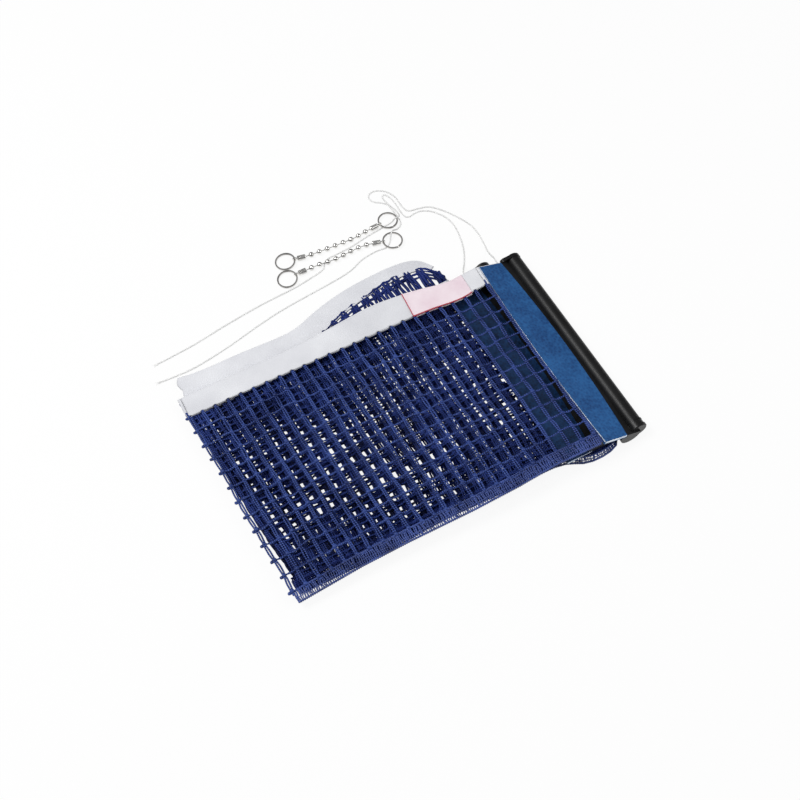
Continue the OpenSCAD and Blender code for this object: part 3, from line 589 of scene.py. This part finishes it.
# an upright's two threads: the share of their distance that is left at a knot, their random swing, how far
# they cross over and under each other, and how far they dip under the tape's edge
PAIR_LEAST, PAIR_SWING, PAIR_RISE, TAPE_DIP = 0.62, 0.35, 0.12, 0.35
# a cross thread's two plies stand this far apart, across and up
PLY_ACROSS, PLY_UP, PLY_START = 0.3, 0.16, 0.4


def net_lines(point, gaps_long, gaps_high, seed, twin, wobble_mm, wave, phase=(0, 0), overlap=0.0, lift=1.0,
              spread=0.0):
    """Uprights of two threads and twisted cross threads over a run's surface, knotted where they meet.

    twin is how far apart an upright's threads lie; phase moves the threads along and across by a share of
    a gap; overlap is the share of the net that the uprights reach into its borders; lift is the share of
    the threads' rise and fall that a pressed run keeps; spread opens the pairs near the tape."""
    lines = Lines()
    rng = np.random.RandomState(seed)

    def laid(s, t):
        flat = point(s, t)
        moved = wobble(flat, wobble_mm, wave, seed)
        moved += (wobble(flat, FINE_WOBBLE, FINE_WAVE, seed + 40) - flat) * [1, 1, 0.4]
        level = lift * (1 - step(0.9, 1.0, t)) if overlap else lift
        moved[:, 2] = flat[:, 2] + (moved[:, 2] - flat[:, 2]) * level
        return moved

    places_s, places_t = ([(i + shift) / gaps for i in range(gaps + 1) if i + shift <= gaps]
                          for gaps, shift in ((gaps_long, phase[0]), (gaps_high, phase[1])))
    if phase[0]:
        places_s.insert(0, 0.0)
    if phase[1]:
        places_t = [0.0] + places_t + [1.0]
    if overlap:
        places_t.pop()
    fine = np.arange(gaps_high * STEPS + 1) / (gaps_high * STEPS)
    reach = np.concatenate([[-overlap * 0.6], fine, [1 + overlap]]) if overlap else fine
    near_tape = step(0.8, 0.95, reach)
    cell = np.clip(reach, 0, 1) * gaps_high - phase[1]
    belly = np.abs(np.sin(np.pi * cell)) ** 0.8
    for place_s in places_s:
        slack = 0.35 + 0.5 * rng.rand()
        swing = PAIR_SWING * (rng.rand() - 0.5)
        base = laid(np.full_like(reach, place_s), reach)
        for leg in (-1, 1):
            strand = base.copy()
            apart = leg * twin * (PAIR_LEAST + slack * belly) * (1 + spread * near_tape)
            strand[:, 0] += apart + swing * belly
            strand[:, 2] += PAIR_RISE * leg * np.cos(np.pi * cell)
            if overlap:
                strand[:, 2] -= TAPE_DIP * step(0.95, 1.0, reach)
            lines.add(strand, thick=1 + 0.4 * spread * near_tape)
    fine = np.arange(gaps_long * STEPS + 1) / (gaps_long * STEPS)
    cell = fine * gaps_long - phase[0]
    gap_of = np.clip(np.floor(cell).astype(int) + 1, 0, gaps_long + 1)
    first_knot = round(phase[0] * STEPS)
    for place_t in places_t:
        base = laid(fine, np.full_like(fine, place_t))
        # most threads hang down a little in each gap, some are pushed up
        sag = (0.2 + 0.9 * rng.rand(gaps_long + 2)) * np.where(rng.rand(gaps_long + 2) < 0.75, 1, -0.7)
        base[:, 1] -= sag[gap_of] * np.abs(np.sin(np.pi * cell))
        base[:, 2] += 0.2 * np.cos(np.pi * cell) ** 2
        knot = np.zeros(len(base))
        knot[first_knot::STEPS] = 0.85 + 0.3 * rng.rand(len(knot[first_knot::STEPS]))
        for leg in (-1, 1):
            strand = base.copy()
            strand[:, 1] += leg * PLY_ACROSS * np.cos(cell * np.pi * 2.0 + PLY_START)
            strand[:, 2] += leg * PLY_UP * lift * np.sin(cell * np.pi * 2.0 + PLY_START)
            lines.add(strand, thick=0.85, knot=knot if leg > 0 else None)
    return lines


TOP_WOBBLE, TOP_WAVE, TOP_SEED = 0.9, 17, 3
# where the knots and the free thread between them lie in a cross thread's turn at the fold
FOLD_KNOTS = [0, 0, 0, 0.9, 0, 0.6, 0, 0, 0]
top_net = net_lines(top_point, GAPS_LONG, GAPS_HIGH, TOP_SEED, twin=0.62, wobble_mm=TOP_WOBBLE,
                    wave=TOP_WAVE, overlap=0.03)
# the cross threads turn down round the left fold, where a knot stands out on each
for j in range(GAPS_HIGH + 1):
    start = wobble(top_point([0.0], [j / GAPS_HIGH]), TOP_WOBBLE, TOP_WAVE, TOP_SEED)[0]
    turn = np.radians(np.linspace(90, 270, len(FOLD_KNOTS)))
    top_net.add(xyz(start[0] + 0.2 + (OUTER_FOLD_R + 0.9) * np.cos(turn), start[1] + 0.2 * np.sin(turn * 2),
                    start[2] - OUTER_FOLD_R + OUTER_FOLD_R * np.sin(turn)), thick=1.3, knot=FOLD_KNOTS)
top_mesh = top_net.sweep("net_top", 0.57, NAVY_TWINE, sides=6, knot_size=(1.5, 1.3, 0.9), seed=5)
stand_in(top_mesh, "net_top_run")

# ---- the lower runs of net ----

# edges of the loose tape, which swings out behind: outer x and y, inner x and y
LOOSE_TAPE = [
    (-117, 81.1, -116.5, 61), (-108, 79.6, -108, 61.2), (-100, 79.2, -100, 61.5), (-80, 79, -80, 62),
    (-55, 78.2, -55, 61.5), (-40, 78.2, -40, 61.5), (-30, 80, -28, 63), (-20, 84, -18, 66.5),
    (-10, 87, -8, 71.5), (0, 89.4, 2, 75), (16, 91.2, 17, 78.8), (30, 91.8, 31, 81.2), (42, 91.6, 42, 82.2),
    (52, 91, 51, 82.6), (60, 89, 57, 82.2), (66, 84.5, 61.5, 80.5), (69.5, 79.5, 65, 77.5)]
# rear edge of the loose net, on to its fold at the right
LOOSE_NET = [(x, y) for _, _, x, y in LOOSE_TAPE] + [(70, 71), (74, 64)]

# back: where the run's hem starts behind the top one. right: where the run ends. start: how much further
# right than the fold it starts near the hem. askew: its shift along, shift across and turn on the others.
# phase: share of a gap by which its threads lie beside those of the top run, along and across
Run = namedtuple("Run", "back right start askew phase")
RUNS = {2: Run(5.4, LOWER_RUN_X, 6.4, (1.6, 1.0, 0.022), (0.4, 0.4)),
        3: Run(6.0, STACK_RIGHT_X, 6.9, (-1.4, -1.6, -0.020), (0.8, 0.74)),
        4: Run(7.2, STACK_RIGHT_X, 5.9, (0.6, 0.8, 0.012), (0.2, 0.2)),
        5: Run(15.0, STACK_RIGHT_X, 6.2, (1.6, 2.4, -0.026), (0.6, 0.6)),
        6: Run(15.0, STACK_RIGHT_X, 7.0, (-2.4, 2.4, 0.018), (0.6, 0.5)),
        7: Run(10.0, CLOSING_X, 6.7, (1.8, -1.2, 0.026), (0.2, 0.84)),
        8: Run(8.4, CLOSING_X, 6.1, (-0.8, 1.8, -0.016), (0.8, 0.24))}
# the loose runs swing out behind, the two runs next to the top one are round and given a lighter colour, and
# the others are flat and given a dark one: painted shade, the deeper the darker
LOOSE_RUNS, NEAR_RUNS = (5, 6), (2, 3)
# length of a gap in the lower runs
GAP = 8.72
# run 2 climbs to the lower plate at its right end
PLATE_CLIMB, CLIMB_LEN = 0.94, 22
# threads are pressed out wide, but less so round the middle of the pack, and a little more towards the right
PRESSED, PRESSED_RIGHT, EASED = 1.16, 0.07, 0.4
EASED_AT, EASED_HALF = (-6, -4), (36, 46)


def run_height(k, x):
    return run_z(k) + (PLATE_CLIMB * step(LOWER_RUN_X - CLIMB_LEN, LOWER_RUN_X, x) if k == 2 else 0.0)


def lower_point(k):
    """Surface of a lower run between its hem and its tape."""
    run = RUNS[k]
    shift_x, shift_y, turn = run.askew

    def at(s, t):
        s, t = arrays(s, t)
        y0 = np.full_like(s, MESH_LOW_Y + run.back)
        y = y0 + t * (TAPE_LOW_Y - y0)
        high = (y - HEM_Y) / NET_H
        start = run.start * (1 - 0.5 * step(0.12, 0.5, high) - 0.4 * step(0.6, 0.95, high))
        left = FOLD_X + slant_x(y) + start
        x = left + s * (run.right - left)
        if k in LOOSE_RUNS:
            y = y0 + t * (np.interp(x, *zip(*LOOSE_NET)) + 1.5 - y0)
        middle = np.sin(np.pi * np.clip(s, 0, 1)) ** 0.5 * np.sin(np.pi * np.clip(t, 0, 1)) ** 0.5
        x = x + (shift_x - turn * y) * middle
        y = y + (shift_y + turn * x * 0.6) * middle
        return xyz(x, y, run_height(k, x))

    return at


def make_lower_net(k):
    lines = net_lines(lower_point(k), round((RUNS[k].right - FOLD_X) / GAP), GAPS_HIGH, 20 + k, twin=0.6,
                      wobble_mm=1.8, wave=26, phase=RUNS[k].phase, lift=0.25,
                      spread=1.1 if k in LOOSE_RUNS else 0.0)
    # darker colours for the runs inside the pack: painted shade
    flat, radius, twine = 0.5, 0.66, DEEP_SHADED_TWINE
    if k in NEAR_RUNS:
        flat, radius, twine = 0.75, 0.48, NEAR_SHADED_TWINE
    if k in LOOSE_RUNS:
        radius, twine = 0.7, LOOSE_SHADED_TWINE
    for n, point in enumerate(lines.points):
        x, y = point[0] / MM, point[1] / MM
        eased = math.exp(-((x - EASED_AT[0]) / EASED_HALF[0]) ** 2 - ((y - EASED_AT[1]) / EASED_HALF[1]) ** 2)
        lines.thick[n] *= PRESSED - EASED * eased + PRESSED_RIGHT * step(20, 45, x)
    lines.keep_above(flat * radius + 0.02)
    mesh = lines.sweep("net_run_%d" % k, radius, twine, flat=flat, sides=5, knot_size=(1.2, 1.0, 0.3), seed=k)
    stand_in(mesh, "net_lower_runs", "folded_net")
    return mesh


lower_meshes = [make_lower_net(k) for k in RUNS]

# ---- hems: a close knit of short pillars and edge threads ----

# rows of thread along a hem, outer edge first: share of the way across, and thickness
TOP_HEM_ROWS = [(0.03, 1.3), (0.4, 0.6), (1.0, 1.1)]
LOWER_HEM_ROWS = [(0.02, 1.5), (0.32, 0.9), (0.5, 1.0), (0.68, 0.9), (0.85, 1.0), (1.0, 1.4)]
LOOP_ROWS = [(0.03, 1.6), (0.5, 0.9), (1.0, 1.5)]
LOOP_NET_ROWS = [(t, 1.2) for t in (0.15, 0.35, 0.55, 0.75, 0.95)]
# the top hem's pillars are a little thinner in its open row and thicker beside the net
PILLAR_PLACES, TOP_PILLARS = (0, 0.05, 0.12, 0.34, 0.45), (1, 1, 0.98, 1, 1.05)
# a pillar leans by up to half of this at random, sways by this much, and lies this far over or under the
# hem's middle by turns; the threads along the hem lie higher and zigzag by a share of its width
PILLAR_LEAN, PILLAR_SWAY, PILLAR_RISE = 0.9, 0.22, 0.2
ROW_RISE, ROW_ZIGZAG = 0.14, 0.03


def knit_lines(point, length, rows, pitch, seed, pillars=(1, 1, 1, 1, 1)):
    """Pillars across the band, whose thickness varies by pillars, and threads that zigzag along it."""
    lines = Lines()
    rng = np.random.RandomState(seed)
    count = int(length / pitch)
    across = np.linspace(0, 1, 9)
    for i in range(count + 1):
        lean = (rng.rand() - 0.5) * PILLAR_LEAN / length
        sway = PILLAR_SWAY / length * np.sin(across * 9 + i)
        base = point(np.clip(i / count + lean * across + sway, 0, 1), across)
        base[:, 2] += PILLAR_RISE * (-1) ** i
        lines.add(base, thick=(0.7 + 0.6 * rng.rand()) * np.interp(across, PILLAR_PLACES, pillars))
    for t, thick in rows:
        fine = np.arange(count * 2 + 1) / (count * 2)
        zig = ROW_ZIGZAG * np.where(np.arange(len(fine)) % 2, 1, -1)
        base = point(fine, np.clip(t + zig, 0, 1))
        base[:, 2] += ROW_RISE
        lines.add(base, thick=thick)
    return lines


def top_hem_point(s, t):
    s, t = arrays(s, t)
    y = HEM_Y + t * HEM_W
    x = slant_x(y) + s * (TOP_LEN - slant_x(y))
    return top_frame(x, y + hem_inset(x))


def hem_point(k):
    run = RUNS[k]

    def at(s, t):
        s, t = arrays(s, t)
        y = HEM_Y + run.back + t * HEM_W
        left = FOLD_X + slant_x(y) + 0.5 * run.start
        x = left + s * (run.right - left)
        wave = 0.9 * np.sin(x / 19 + k) * (1 - t)
        return xyz(x, y + wave, run_height(k, x))

    return at


top_hem = knit_lines(top_hem_point, TOP_LEN, TOP_HEM_ROWS, 1.3, 7, TOP_PILLARS).sweep(
    "hem_top", 0.46, NAVY_KNIT, sides=6)
stand_in(top_hem, "hem_top_run")
hems = {1: [top_hem]}
for k in (2, 3, 4, 7, 8):
    lines = knit_lines(hem_point(k), RUNS[k].right - FOLD_X, LOWER_HEM_ROWS, 1.7, 30 + k)
    lines.keep_above(0.25)
    # the inner runs' hems in the darker knit: painted shade
    piece = lines.sweep("hem_run_%d" % k, 0.34, DEEP_SHADED_KNIT, flat=0.6, sides=4)
    stand_in(piece, "hem_lower_runs", "folded_net")
    hems[k] = [piece]

# the slack hem's loop round the lower foot: outer edge on the table and inner edge raised, x, y, z each
LOOP_BAND = np.array([
    (52, -86.6, 0.9, 52, -80.5, 1.4), (60, -87, 0.7, 60, -82, 1.7), (67, -88.2, 0.5, 67, -84.2, 2.0),
    (72, -90.4, 0.5, 73, -86.9, 2.2), (77, -93, 0.5, 78, -89.8, 2.4), (83, -94.4, 0.5, 83.6, -91.6, 2.6),
    (90, -94.6, 0.5, 90.2, -91.9, 2.6), (96, -93.9, 0.5, 95.6, -91.4, 2.6),
    (101.5, -92, 0.5, 100.4, -90, 2.2), (104, -88.8, 0.6, 102.2, -87.6, 1.8)])
LOOP_LEN = 58
# the slack net behind the loop ends here, under the plate's foot; its close, dark knit fills the hollow there
# as painted shade
LOOP_NET_Y, LOOP_NET_Z = -83.0, 0.5


def loop_edge(s, first):
    """The loop's outer edge, where first is 0, or its inner one, where it is 3."""
    stations = np.arange(len(LOOP_BAND))
    return xyz(*(np.interp(s * stations[-1], stations, LOOP_BAND[:, first + c]) for c in range(3)))


def loop_point(s, t):
    s, t = arrays(s, t)
    outer, inner = loop_edge(s, 0), loop_edge(s, 3)
    return outer + (inner - outer) * t[..., None]


def loop_net_point(s, t):
    s, t = arrays(s, t)
    near = loop_edge(s, 3)
    far = xyz(near[..., 0] - 1, LOOP_NET_Y, LOOP_NET_Z)
    return near + (far - near) * t[..., None] ** 0.8


loop_piece = knit_lines(loop_point, LOOP_LEN, LOOP_ROWS, 1.25, 51).sweep("hem_loop", 0.42, NAVY_KNIT, sides=5)
# close knit in the darker inner-run colour, laid in the hollow under the plate's foot: painted shade
loop_net = knit_lines(loop_net_point, LOOP_LEN, LOOP_NET_ROWS, 0.9, 52).sweep(
    "hem_loop_net", 0.62, DEEP_SHADED_KNIT, flat=0.6, sides=4)
for piece in (loop_net, loop_piece):
    stand_in(piece, "hem_lower_runs", "folded_net")
hems[8] += [loop_piece, loop_net]

# ---- tapes: cloth folded over the net's edge ----

TAPE_LEFT = slant_x(TAPE_LOW_Y)
TAPE_ANGLE = math.atan(TAPE_DRAW / (TOP_LEN - TAPE_LEFT))
TAPE_LEN = (TOP_LEN - TAPE_LEFT) / math.cos(TAPE_ANGLE) - 0.5
# in its middle the top tape lies spread and tilted over the pile of tapes below it: how much wider, where
# and over what half width, and how high its outer edge is raised, where and over what half width
SPREAD, SPREAD_AT, SPREAD_HALF = 0.2, 132, 38
RAISED, RAISED_AT, RAISED_HALF = 3.6, 136, 36
# the stitches draw its lower edge in beside each upright, by this much and over this share of a gap
NOTCH, NOTCH_SHARE, NOTCH_FADE = 0.9, 0.13, 1.2
# the cloth as it is, pressed flat, and at a fold
CLOTH_T, PRESSED_CLOTH_T, FOLD_CLOTH_T = 0.28, 0.1, 0.3
# height of the loose tape's middle, half its thickness, and how far its outer edge stands up at the right
LOOSE_Z, LOOSE_HALF, LOOSE_STAND = 1.9, 0.5, 2.6
# how deep its raw end at the fold is lumped, and how far the outer edge's end stands out
END_LUMP, END_OUT = 1.4, 0.8


def fold_section(width, half, count=14):
    """Cross section of a folded tape: out along the top, round the edge and back below; (across, up)."""
    top = [(w, half * (0.75 + 0.25 * math.sin(math.pi * min(1, w / width)))) for w in
           np.linspace(0, width - half, count)]
    turn = [(width - half + half * math.sin(a), half * math.cos(a))
            for a in np.linspace(0.3, math.pi - 0.3, 7)]
    return np.array(top + turn + [(w, -u) for w, u in reversed(top)])


def pillowed(along, across, up):
    """Points of the top tape from their places along, across and above it."""
    across, up = (across * (1 + SPREAD * hump(along, SPREAD_AT, SPREAD_HALF)),
                  up + RAISED * hump(along, RAISED_AT, RAISED_HALF) * np.clip(across / TAPE_W, 0, 1.1))
    c, s = math.cos(-TAPE_ANGLE), math.sin(-TAPE_ANGLE)
    return top_frame(TAPE_LEFT + along * c - across * s, TAPE_LOW_Y + along * s + across * c, up)


def tape_piece(name, grid, thickness, node="tape_lower_runs", body="folded_net"):
    piece = grid_piece(name, grid, TAPE_CLOTH, thickness=thickness)
    stand_in(piece, node, body)
    return piece


def make_top_tape():
    section = fold_section(TAPE_W, 0.72)
    rows = []
    for a in TAPE_LEN * np.arange(261) / 260:
        near = (a % (TAPE_LEN / GAPS_LONG)) / (TAPE_LEN / GAPS_LONG)
        notch = NOTCH * hump(min(near, 1 - near), 0, NOTCH_SHARE)
        rows.append(pillowed(a, section[:, 0] + notch * np.exp(-section[:, 0] / NOTCH_FADE), section[:, 1]))
    grid = np.array(rows)
    grid[..., 2] = wobble(grid, 0.35, 11, 61)[..., 2]
    grid[..., 1] += wobble(grid, 0.5, 45, 62)[..., 1] - grid[..., 1]
    return tape_piece("tape_top", grid, CLOTH_T, "tape_top_run", None)


def make_loose_tape():
    """The tape of runs 5 and 6, which swings out behind and stands up on its edge towards the right."""
    edges = np.array(LOOSE_TAPE, float)
    station = np.concatenate([[0], np.cumsum(np.hypot(*np.diff(edges[:, :2], axis=0).T))])
    w, u = fold_section(1.0, 0.05).T
    thick = LOOSE_HALF * np.sign(u) * np.minimum(1, np.abs(u) / 0.03)
    rows = []
    for s in np.linspace(0, 1, 181):
        outer_x, outer_y, inner_x, inner_y = (np.interp(s * station[-1], station, edges[:, c])
                                              for c in range(4))
        stand = step(-20, 50, outer_x) * LOOSE_STAND * (1 - 0.8 * step(0.93, 1.0, s))
        end = 1 - step(0, 0.02, s)
        lump = END_LUMP * np.abs(np.sin(2 * np.pi * w)) * end - END_OUT * step(0.8, 1.0, w) * end
        rows.append(xyz(inner_x + w * (outer_x - inner_x) - lump, inner_y + w * (outer_y - inner_y),
                        LOOSE_Z + thick + stand * w ** 1.5))
    grid = np.array(rows)
    for _ in range(24):
        grid[1:-1, :, :2] = (grid[:-2, :, :2] + 2 * grid[1:-1, :, :2] + grid[2:, :, :2]) / 4
    grid[..., 2] = np.maximum(wobble(grid, 0.6, 18, 63)[..., 2], 0.3)
    return tape_piece("tape_loose", grid, CLOTH_T)


def make_lower_tape(k):
    """The tape of a pressed run under the top one."""
    w, u = fold_section(TAPE_W, 0.24).T
    y = TAPE_LOW_Y + w
    left = FOLD_X + slant_x(y)
    grid = np.array([xyz(left + (RUNS[k].right - left) * i / 80, y, run_z(k) + u) for i in range(81)])
    grid[..., 1] += 0.6 * np.sin(grid[..., 0] / 23 + k)
    return tape_piece("tape_run_%d" % k, grid, PRESSED_CLOTH_T)


def make_tape_fold(high, low, radius):
    """The tape's fold at the left between two runs, seen from outside."""
    a = np.radians(np.linspace(90, 270, 12))
    middle = (run_z(high) + run_z(low)) / 2
    grid = np.array([xyz(FOLD_X + slant_x(y) + 0.4 + (radius + 0.5) * np.cos(a), y,
                         middle + radius * np.sin(a)) for y in TAPE_LOW_Y + np.linspace(0, TAPE_W, 16)])
    return tape_piece("tape_fold_%d" % high, wobble(grid, 0.4, 7, 65 + high), FOLD_CLOTH_T)


top_tape = make_top_tape()
lower_tapes = {5: make_loose_tape()}
for k in (2, 3, 4, 7, 8):
    lower_tapes[k] = make_lower_tape(k)
tape_folds = {low: [make_tape_fold(high, low, radius)]
              for high, low, radius in ((1, 4, OUTER_FOLD_R), (2, 3, INNER_FOLD_R), (7, 8, INNER_FOLD_R))}

# ---- label ----

# the label's length, its distance from the tape's end, how much wider than the tape it is, how much further
# down it starts, how far it lies off the cloth, and how far its two ends curl up
TAG_LEN, TAG_FROM_END, TAG_OVER, TAG_LOW, TAG_LIFT, TAG_CURL = 42.0, 11.0, 0.75, 0.6, 0.12, 0.35


def make_label():
    """A ribbon folded round the tape's lower half, whose two ends curl up a little."""
    w, u = fold_section(TAPE_W + TAG_OVER, 1.0, 16).T
    start = TAPE_LEN - TAG_FROM_END - TAG_LEN
    rows = []
    for i in range(61):
        curl = TAG_CURL * (abs(i - 30) / 30) ** 6
        rows.append(pillowed(start + TAG_LEN * i / 60, w - TAG_LOW, u + curl * np.sign(u)))
    grid = np.array(rows)
    grid[..., 2] = wobble(grid, 0.25, 12, 66)[..., 2] + TAG_LIFT
    piece = grid_piece("label", grid, LABEL_SATIN, thickness=0.2)
    stand_in(piece, "sewn_tag", "folded_net")
    return piece


label = make_label()

# ---- the top run's pieces, with their placing applied to their meshes ----

for piece in (top_mesh, top_hem, top_tape):
    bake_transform(piece)

# ---- net and tape between the plates' leaves ----

# from the foot of the plate: where the net starts, where it meets the tape, and where the tape ends
STRIP_FOOT, STRIP_TAPE, STRIP_TOP = 1.55, 150.0 - TAPE_W, 150.0
ENDS = (("upper", "upper_end"), ("lower", "folded_net"))


def end_frame(end, x, y, z):
    """Places points of a plate and rod: the upper end is tilted, the lower one mirrored."""
    x, y, z = arrays(x, y, z)
    if end == "upper":
        c, s = math.cos(END_TILT), math.sin(END_TILT)
        return xyz(ROD_X + x * c + z * s, PLATE_Y + y, ROD_Z - x * s + z * c)
    return xyz(LOWER_ROD_X + x, PLATE_Y + LOWER_SHIFT + y, ROD_Z - z)


for end, body in ENDS:
    for part, low, high, material in (("net", STRIP_FOOT, STRIP_TAPE, NAVY_KNIT),
                                      ("tape", STRIP_TAPE + 0.05, STRIP_TOP, TAPE_CLOTH)):
        y, x = np.meshgrid(np.linspace(low, high, 60), np.linspace(STRIP_LEFT, STRIP_RIGHT, 12),
                           indexing="ij")
        piece = grid_piece("%s_%s_in_plate" % (end, part),
                           end_frame(end, x, y, 0.05 * np.sin(y * 3.1) * np.cos(x * 2.7)), material,
                           thickness=0.55)
        stand_in(piece, "%s_%s_end" % (end, part), body)

# ---- worn edges of the plates: bare steel along the cut edge and on the fold at the foot ----

# the bands lie this far off the paint, on the plate's outer face and round its edge
OFF_FACE, OFF_EDGE = 0.02, 0.03
FACE_Z = PLATE_T / 2 + OFF_FACE
BOW_R = ((PLATE_LEN / 2) ** 2 + PLATE_BOW ** 2) / (2 * PLATE_BOW)


def edge_band(name, end, body, rows):
    band = grid_piece(name, np.array([end_frame(end, *np.array(row).T) for row in rows]), BARE_STEEL)
    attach(band, body)


for end, body in ENDS:
    rows = []
    for y in np.linspace(0.3, PLATE_LEN - 0.3, 90):
        x = PLATE_LEFT - PLATE_BOW + BOW_R - math.sqrt(BOW_R ** 2 - (y - PLATE_LEN / 2) ** 2)
        # worn widest at the foot
        wide = max(0.02, 0.03 + 0.42 * (1 - y / PLATE_LEN) ** 2.5
                   + 0.06 * math.sin(y * 1.7) * math.sin(y * 0.53))
        rows.append([(x + wide, y, FACE_Z), (x - 0.02, y, FACE_Z), (x - OFF_EDGE, y, FACE_Z - 0.04),
                     (x - OFF_EDGE, y, 0.42)])
    edge_band(end + "_cut_edge", end, body, rows)
    rows = [[(x, 0.16, FACE_Z), (x, -0.02, FACE_Z), (x, -OFF_EDGE, FACE_Z - 0.07), (x, -OFF_EDGE, -0.3)]
            for x in np.linspace(PLATE_RIGHT - 0.1, PLATE_LEFT + 0.1, 30)]
    edge_band(end + "_fold_edge", end, body, rows)

# ---- carried-over solids: plates, rods, caps, chains ----


def dress(material, *nodes):
    for node in nodes:
        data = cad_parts[node].data
        data.materials.clear()
        data.materials.append(material)


dress(PLATE_PAINT, "upper_end_plate")
# darker copy of the enamel on the lower plate: painted shade
dress(SHADED_PAINT, "lower_end_plate")
dress(CORD_BRAID, "cord_in_tape")
for end, body in ENDS:
    dress(ROD_BLACK, end + "_post_rod")
    dress(CAP_BLACK, end + "_top_cap", end + "_foot_cap")
for chain in ("rear", "front"):
    dress(BALL_NICKEL, chain + "_tied_connector", chain + "_free_connector",
          *("%s_ball_%d" % (chain, n) for n in range(1, 9)))
    dress(RING_NICKEL, chain + "_tied_ring", chain + "_free_ring")

# ---- floor and light ----

FLOOR_HALF, FLOOR_Z = 6.0, -0.0002


def make_floor():
    """Matt white paper, which shows as white to the camera and keeps a soft shadow."""
    data = bpy.data.meshes.new("Floor")
    corners = [(x * FLOOR_HALF, y * FLOOR_HALF, FLOOR_Z) for x, y in ((-1, -1), (1, -1), (1, 1), (-1, 1))]
    data.from_pydata(corners, [], [(0, 1, 2, 3)])
    floor = place("Floor", data)
    material, tree = new_material("Matt white paper")
    paper = add(tree, "ShaderNodeBsdfDiffuse", {"Color": srgb("#F2F2F2")})
    bright = add(tree, "ShaderNodeEmission", {"Color": srgb("#FFFFFF"), "Strength": 1.0})
    ray = add(tree, "ShaderNodeLightPath").outputs
    seen = add(tree, "ShaderNodeMath", {0: ray["Is Camera Ray"], 1: ray["Is Glossy Ray"]},
               operation="MAXIMUM")
    shown = add(tree, "ShaderNodeMath", {0: seen, 1: ray["Is Transmission Ray"]}, operation="MAXIMUM")
    share = add(tree, "ShaderNodeMath", {0: shown, 1: 0.9}, operation="MULTIPLY")
    data.materials.append(finish(material, add(tree, "ShaderNodeMixShader", {0: share, 1: paper, 2: bright})))


def make_world():
    """A soft room, darker towards the floor, that the camera sees as white."""
    world = bpy.data.worlds.new("Soft room")
    bpy.context.scene.world = world
    world.use_nodes = True
    tree = world.node_tree
    tree.nodes.clear()
    spot = add(tree, "ShaderNodeTexCoord").outputs
    height = add(tree, "ShaderNodeSeparateXYZ", {0: spot["Generated"]}).outputs["Z"]
    grey = add(tree, "ShaderNodeValToRGB", {0: height},
               stops=((0.0, (0.16, 0.16, 0.17, 1)), (0.75, (0.85, 0.85, 0.86, 1))))
    room = add(tree, "ShaderNodeBackground", {"Color": grey, "Strength": 0.38})
    white = add(tree, "ShaderNodeBackground", {"Color": (1, 1, 1, 1), "Strength": 1.0})
    ray = add(tree, "ShaderNodeLightPath").outputs
    mixed = add(tree, "ShaderNodeMixShader", {0: ray["Is Camera Ray"], 1: room, 2: white})
    add(tree, "ShaderNodeOutputWorld", {"Surface": mixed})


def soft_lamp(name, at, size, power):
    """A square panel aimed at the middle of the table."""
    data = bpy.data.lights.new(name, "AREA")
    data.shape = "RECTANGLE"
    data.size = data.size_y = size
    data.energy = power
    lamp = place(name, data)
    lamp.location = at
    lamp.rotation_euler = (-Vector(at)).to_track_quat("-Z", "Y").to_euler()


make_floor()
make_world()
soft_lamp("Key", (-0.55, 0.35, 1.1), 0.6, 11.5)
soft_lamp("Fill", (0.9, -0.5, 0.9), 0.8, 5.5)
bpy.context.scene.view_settings.view_transform = "Standard"
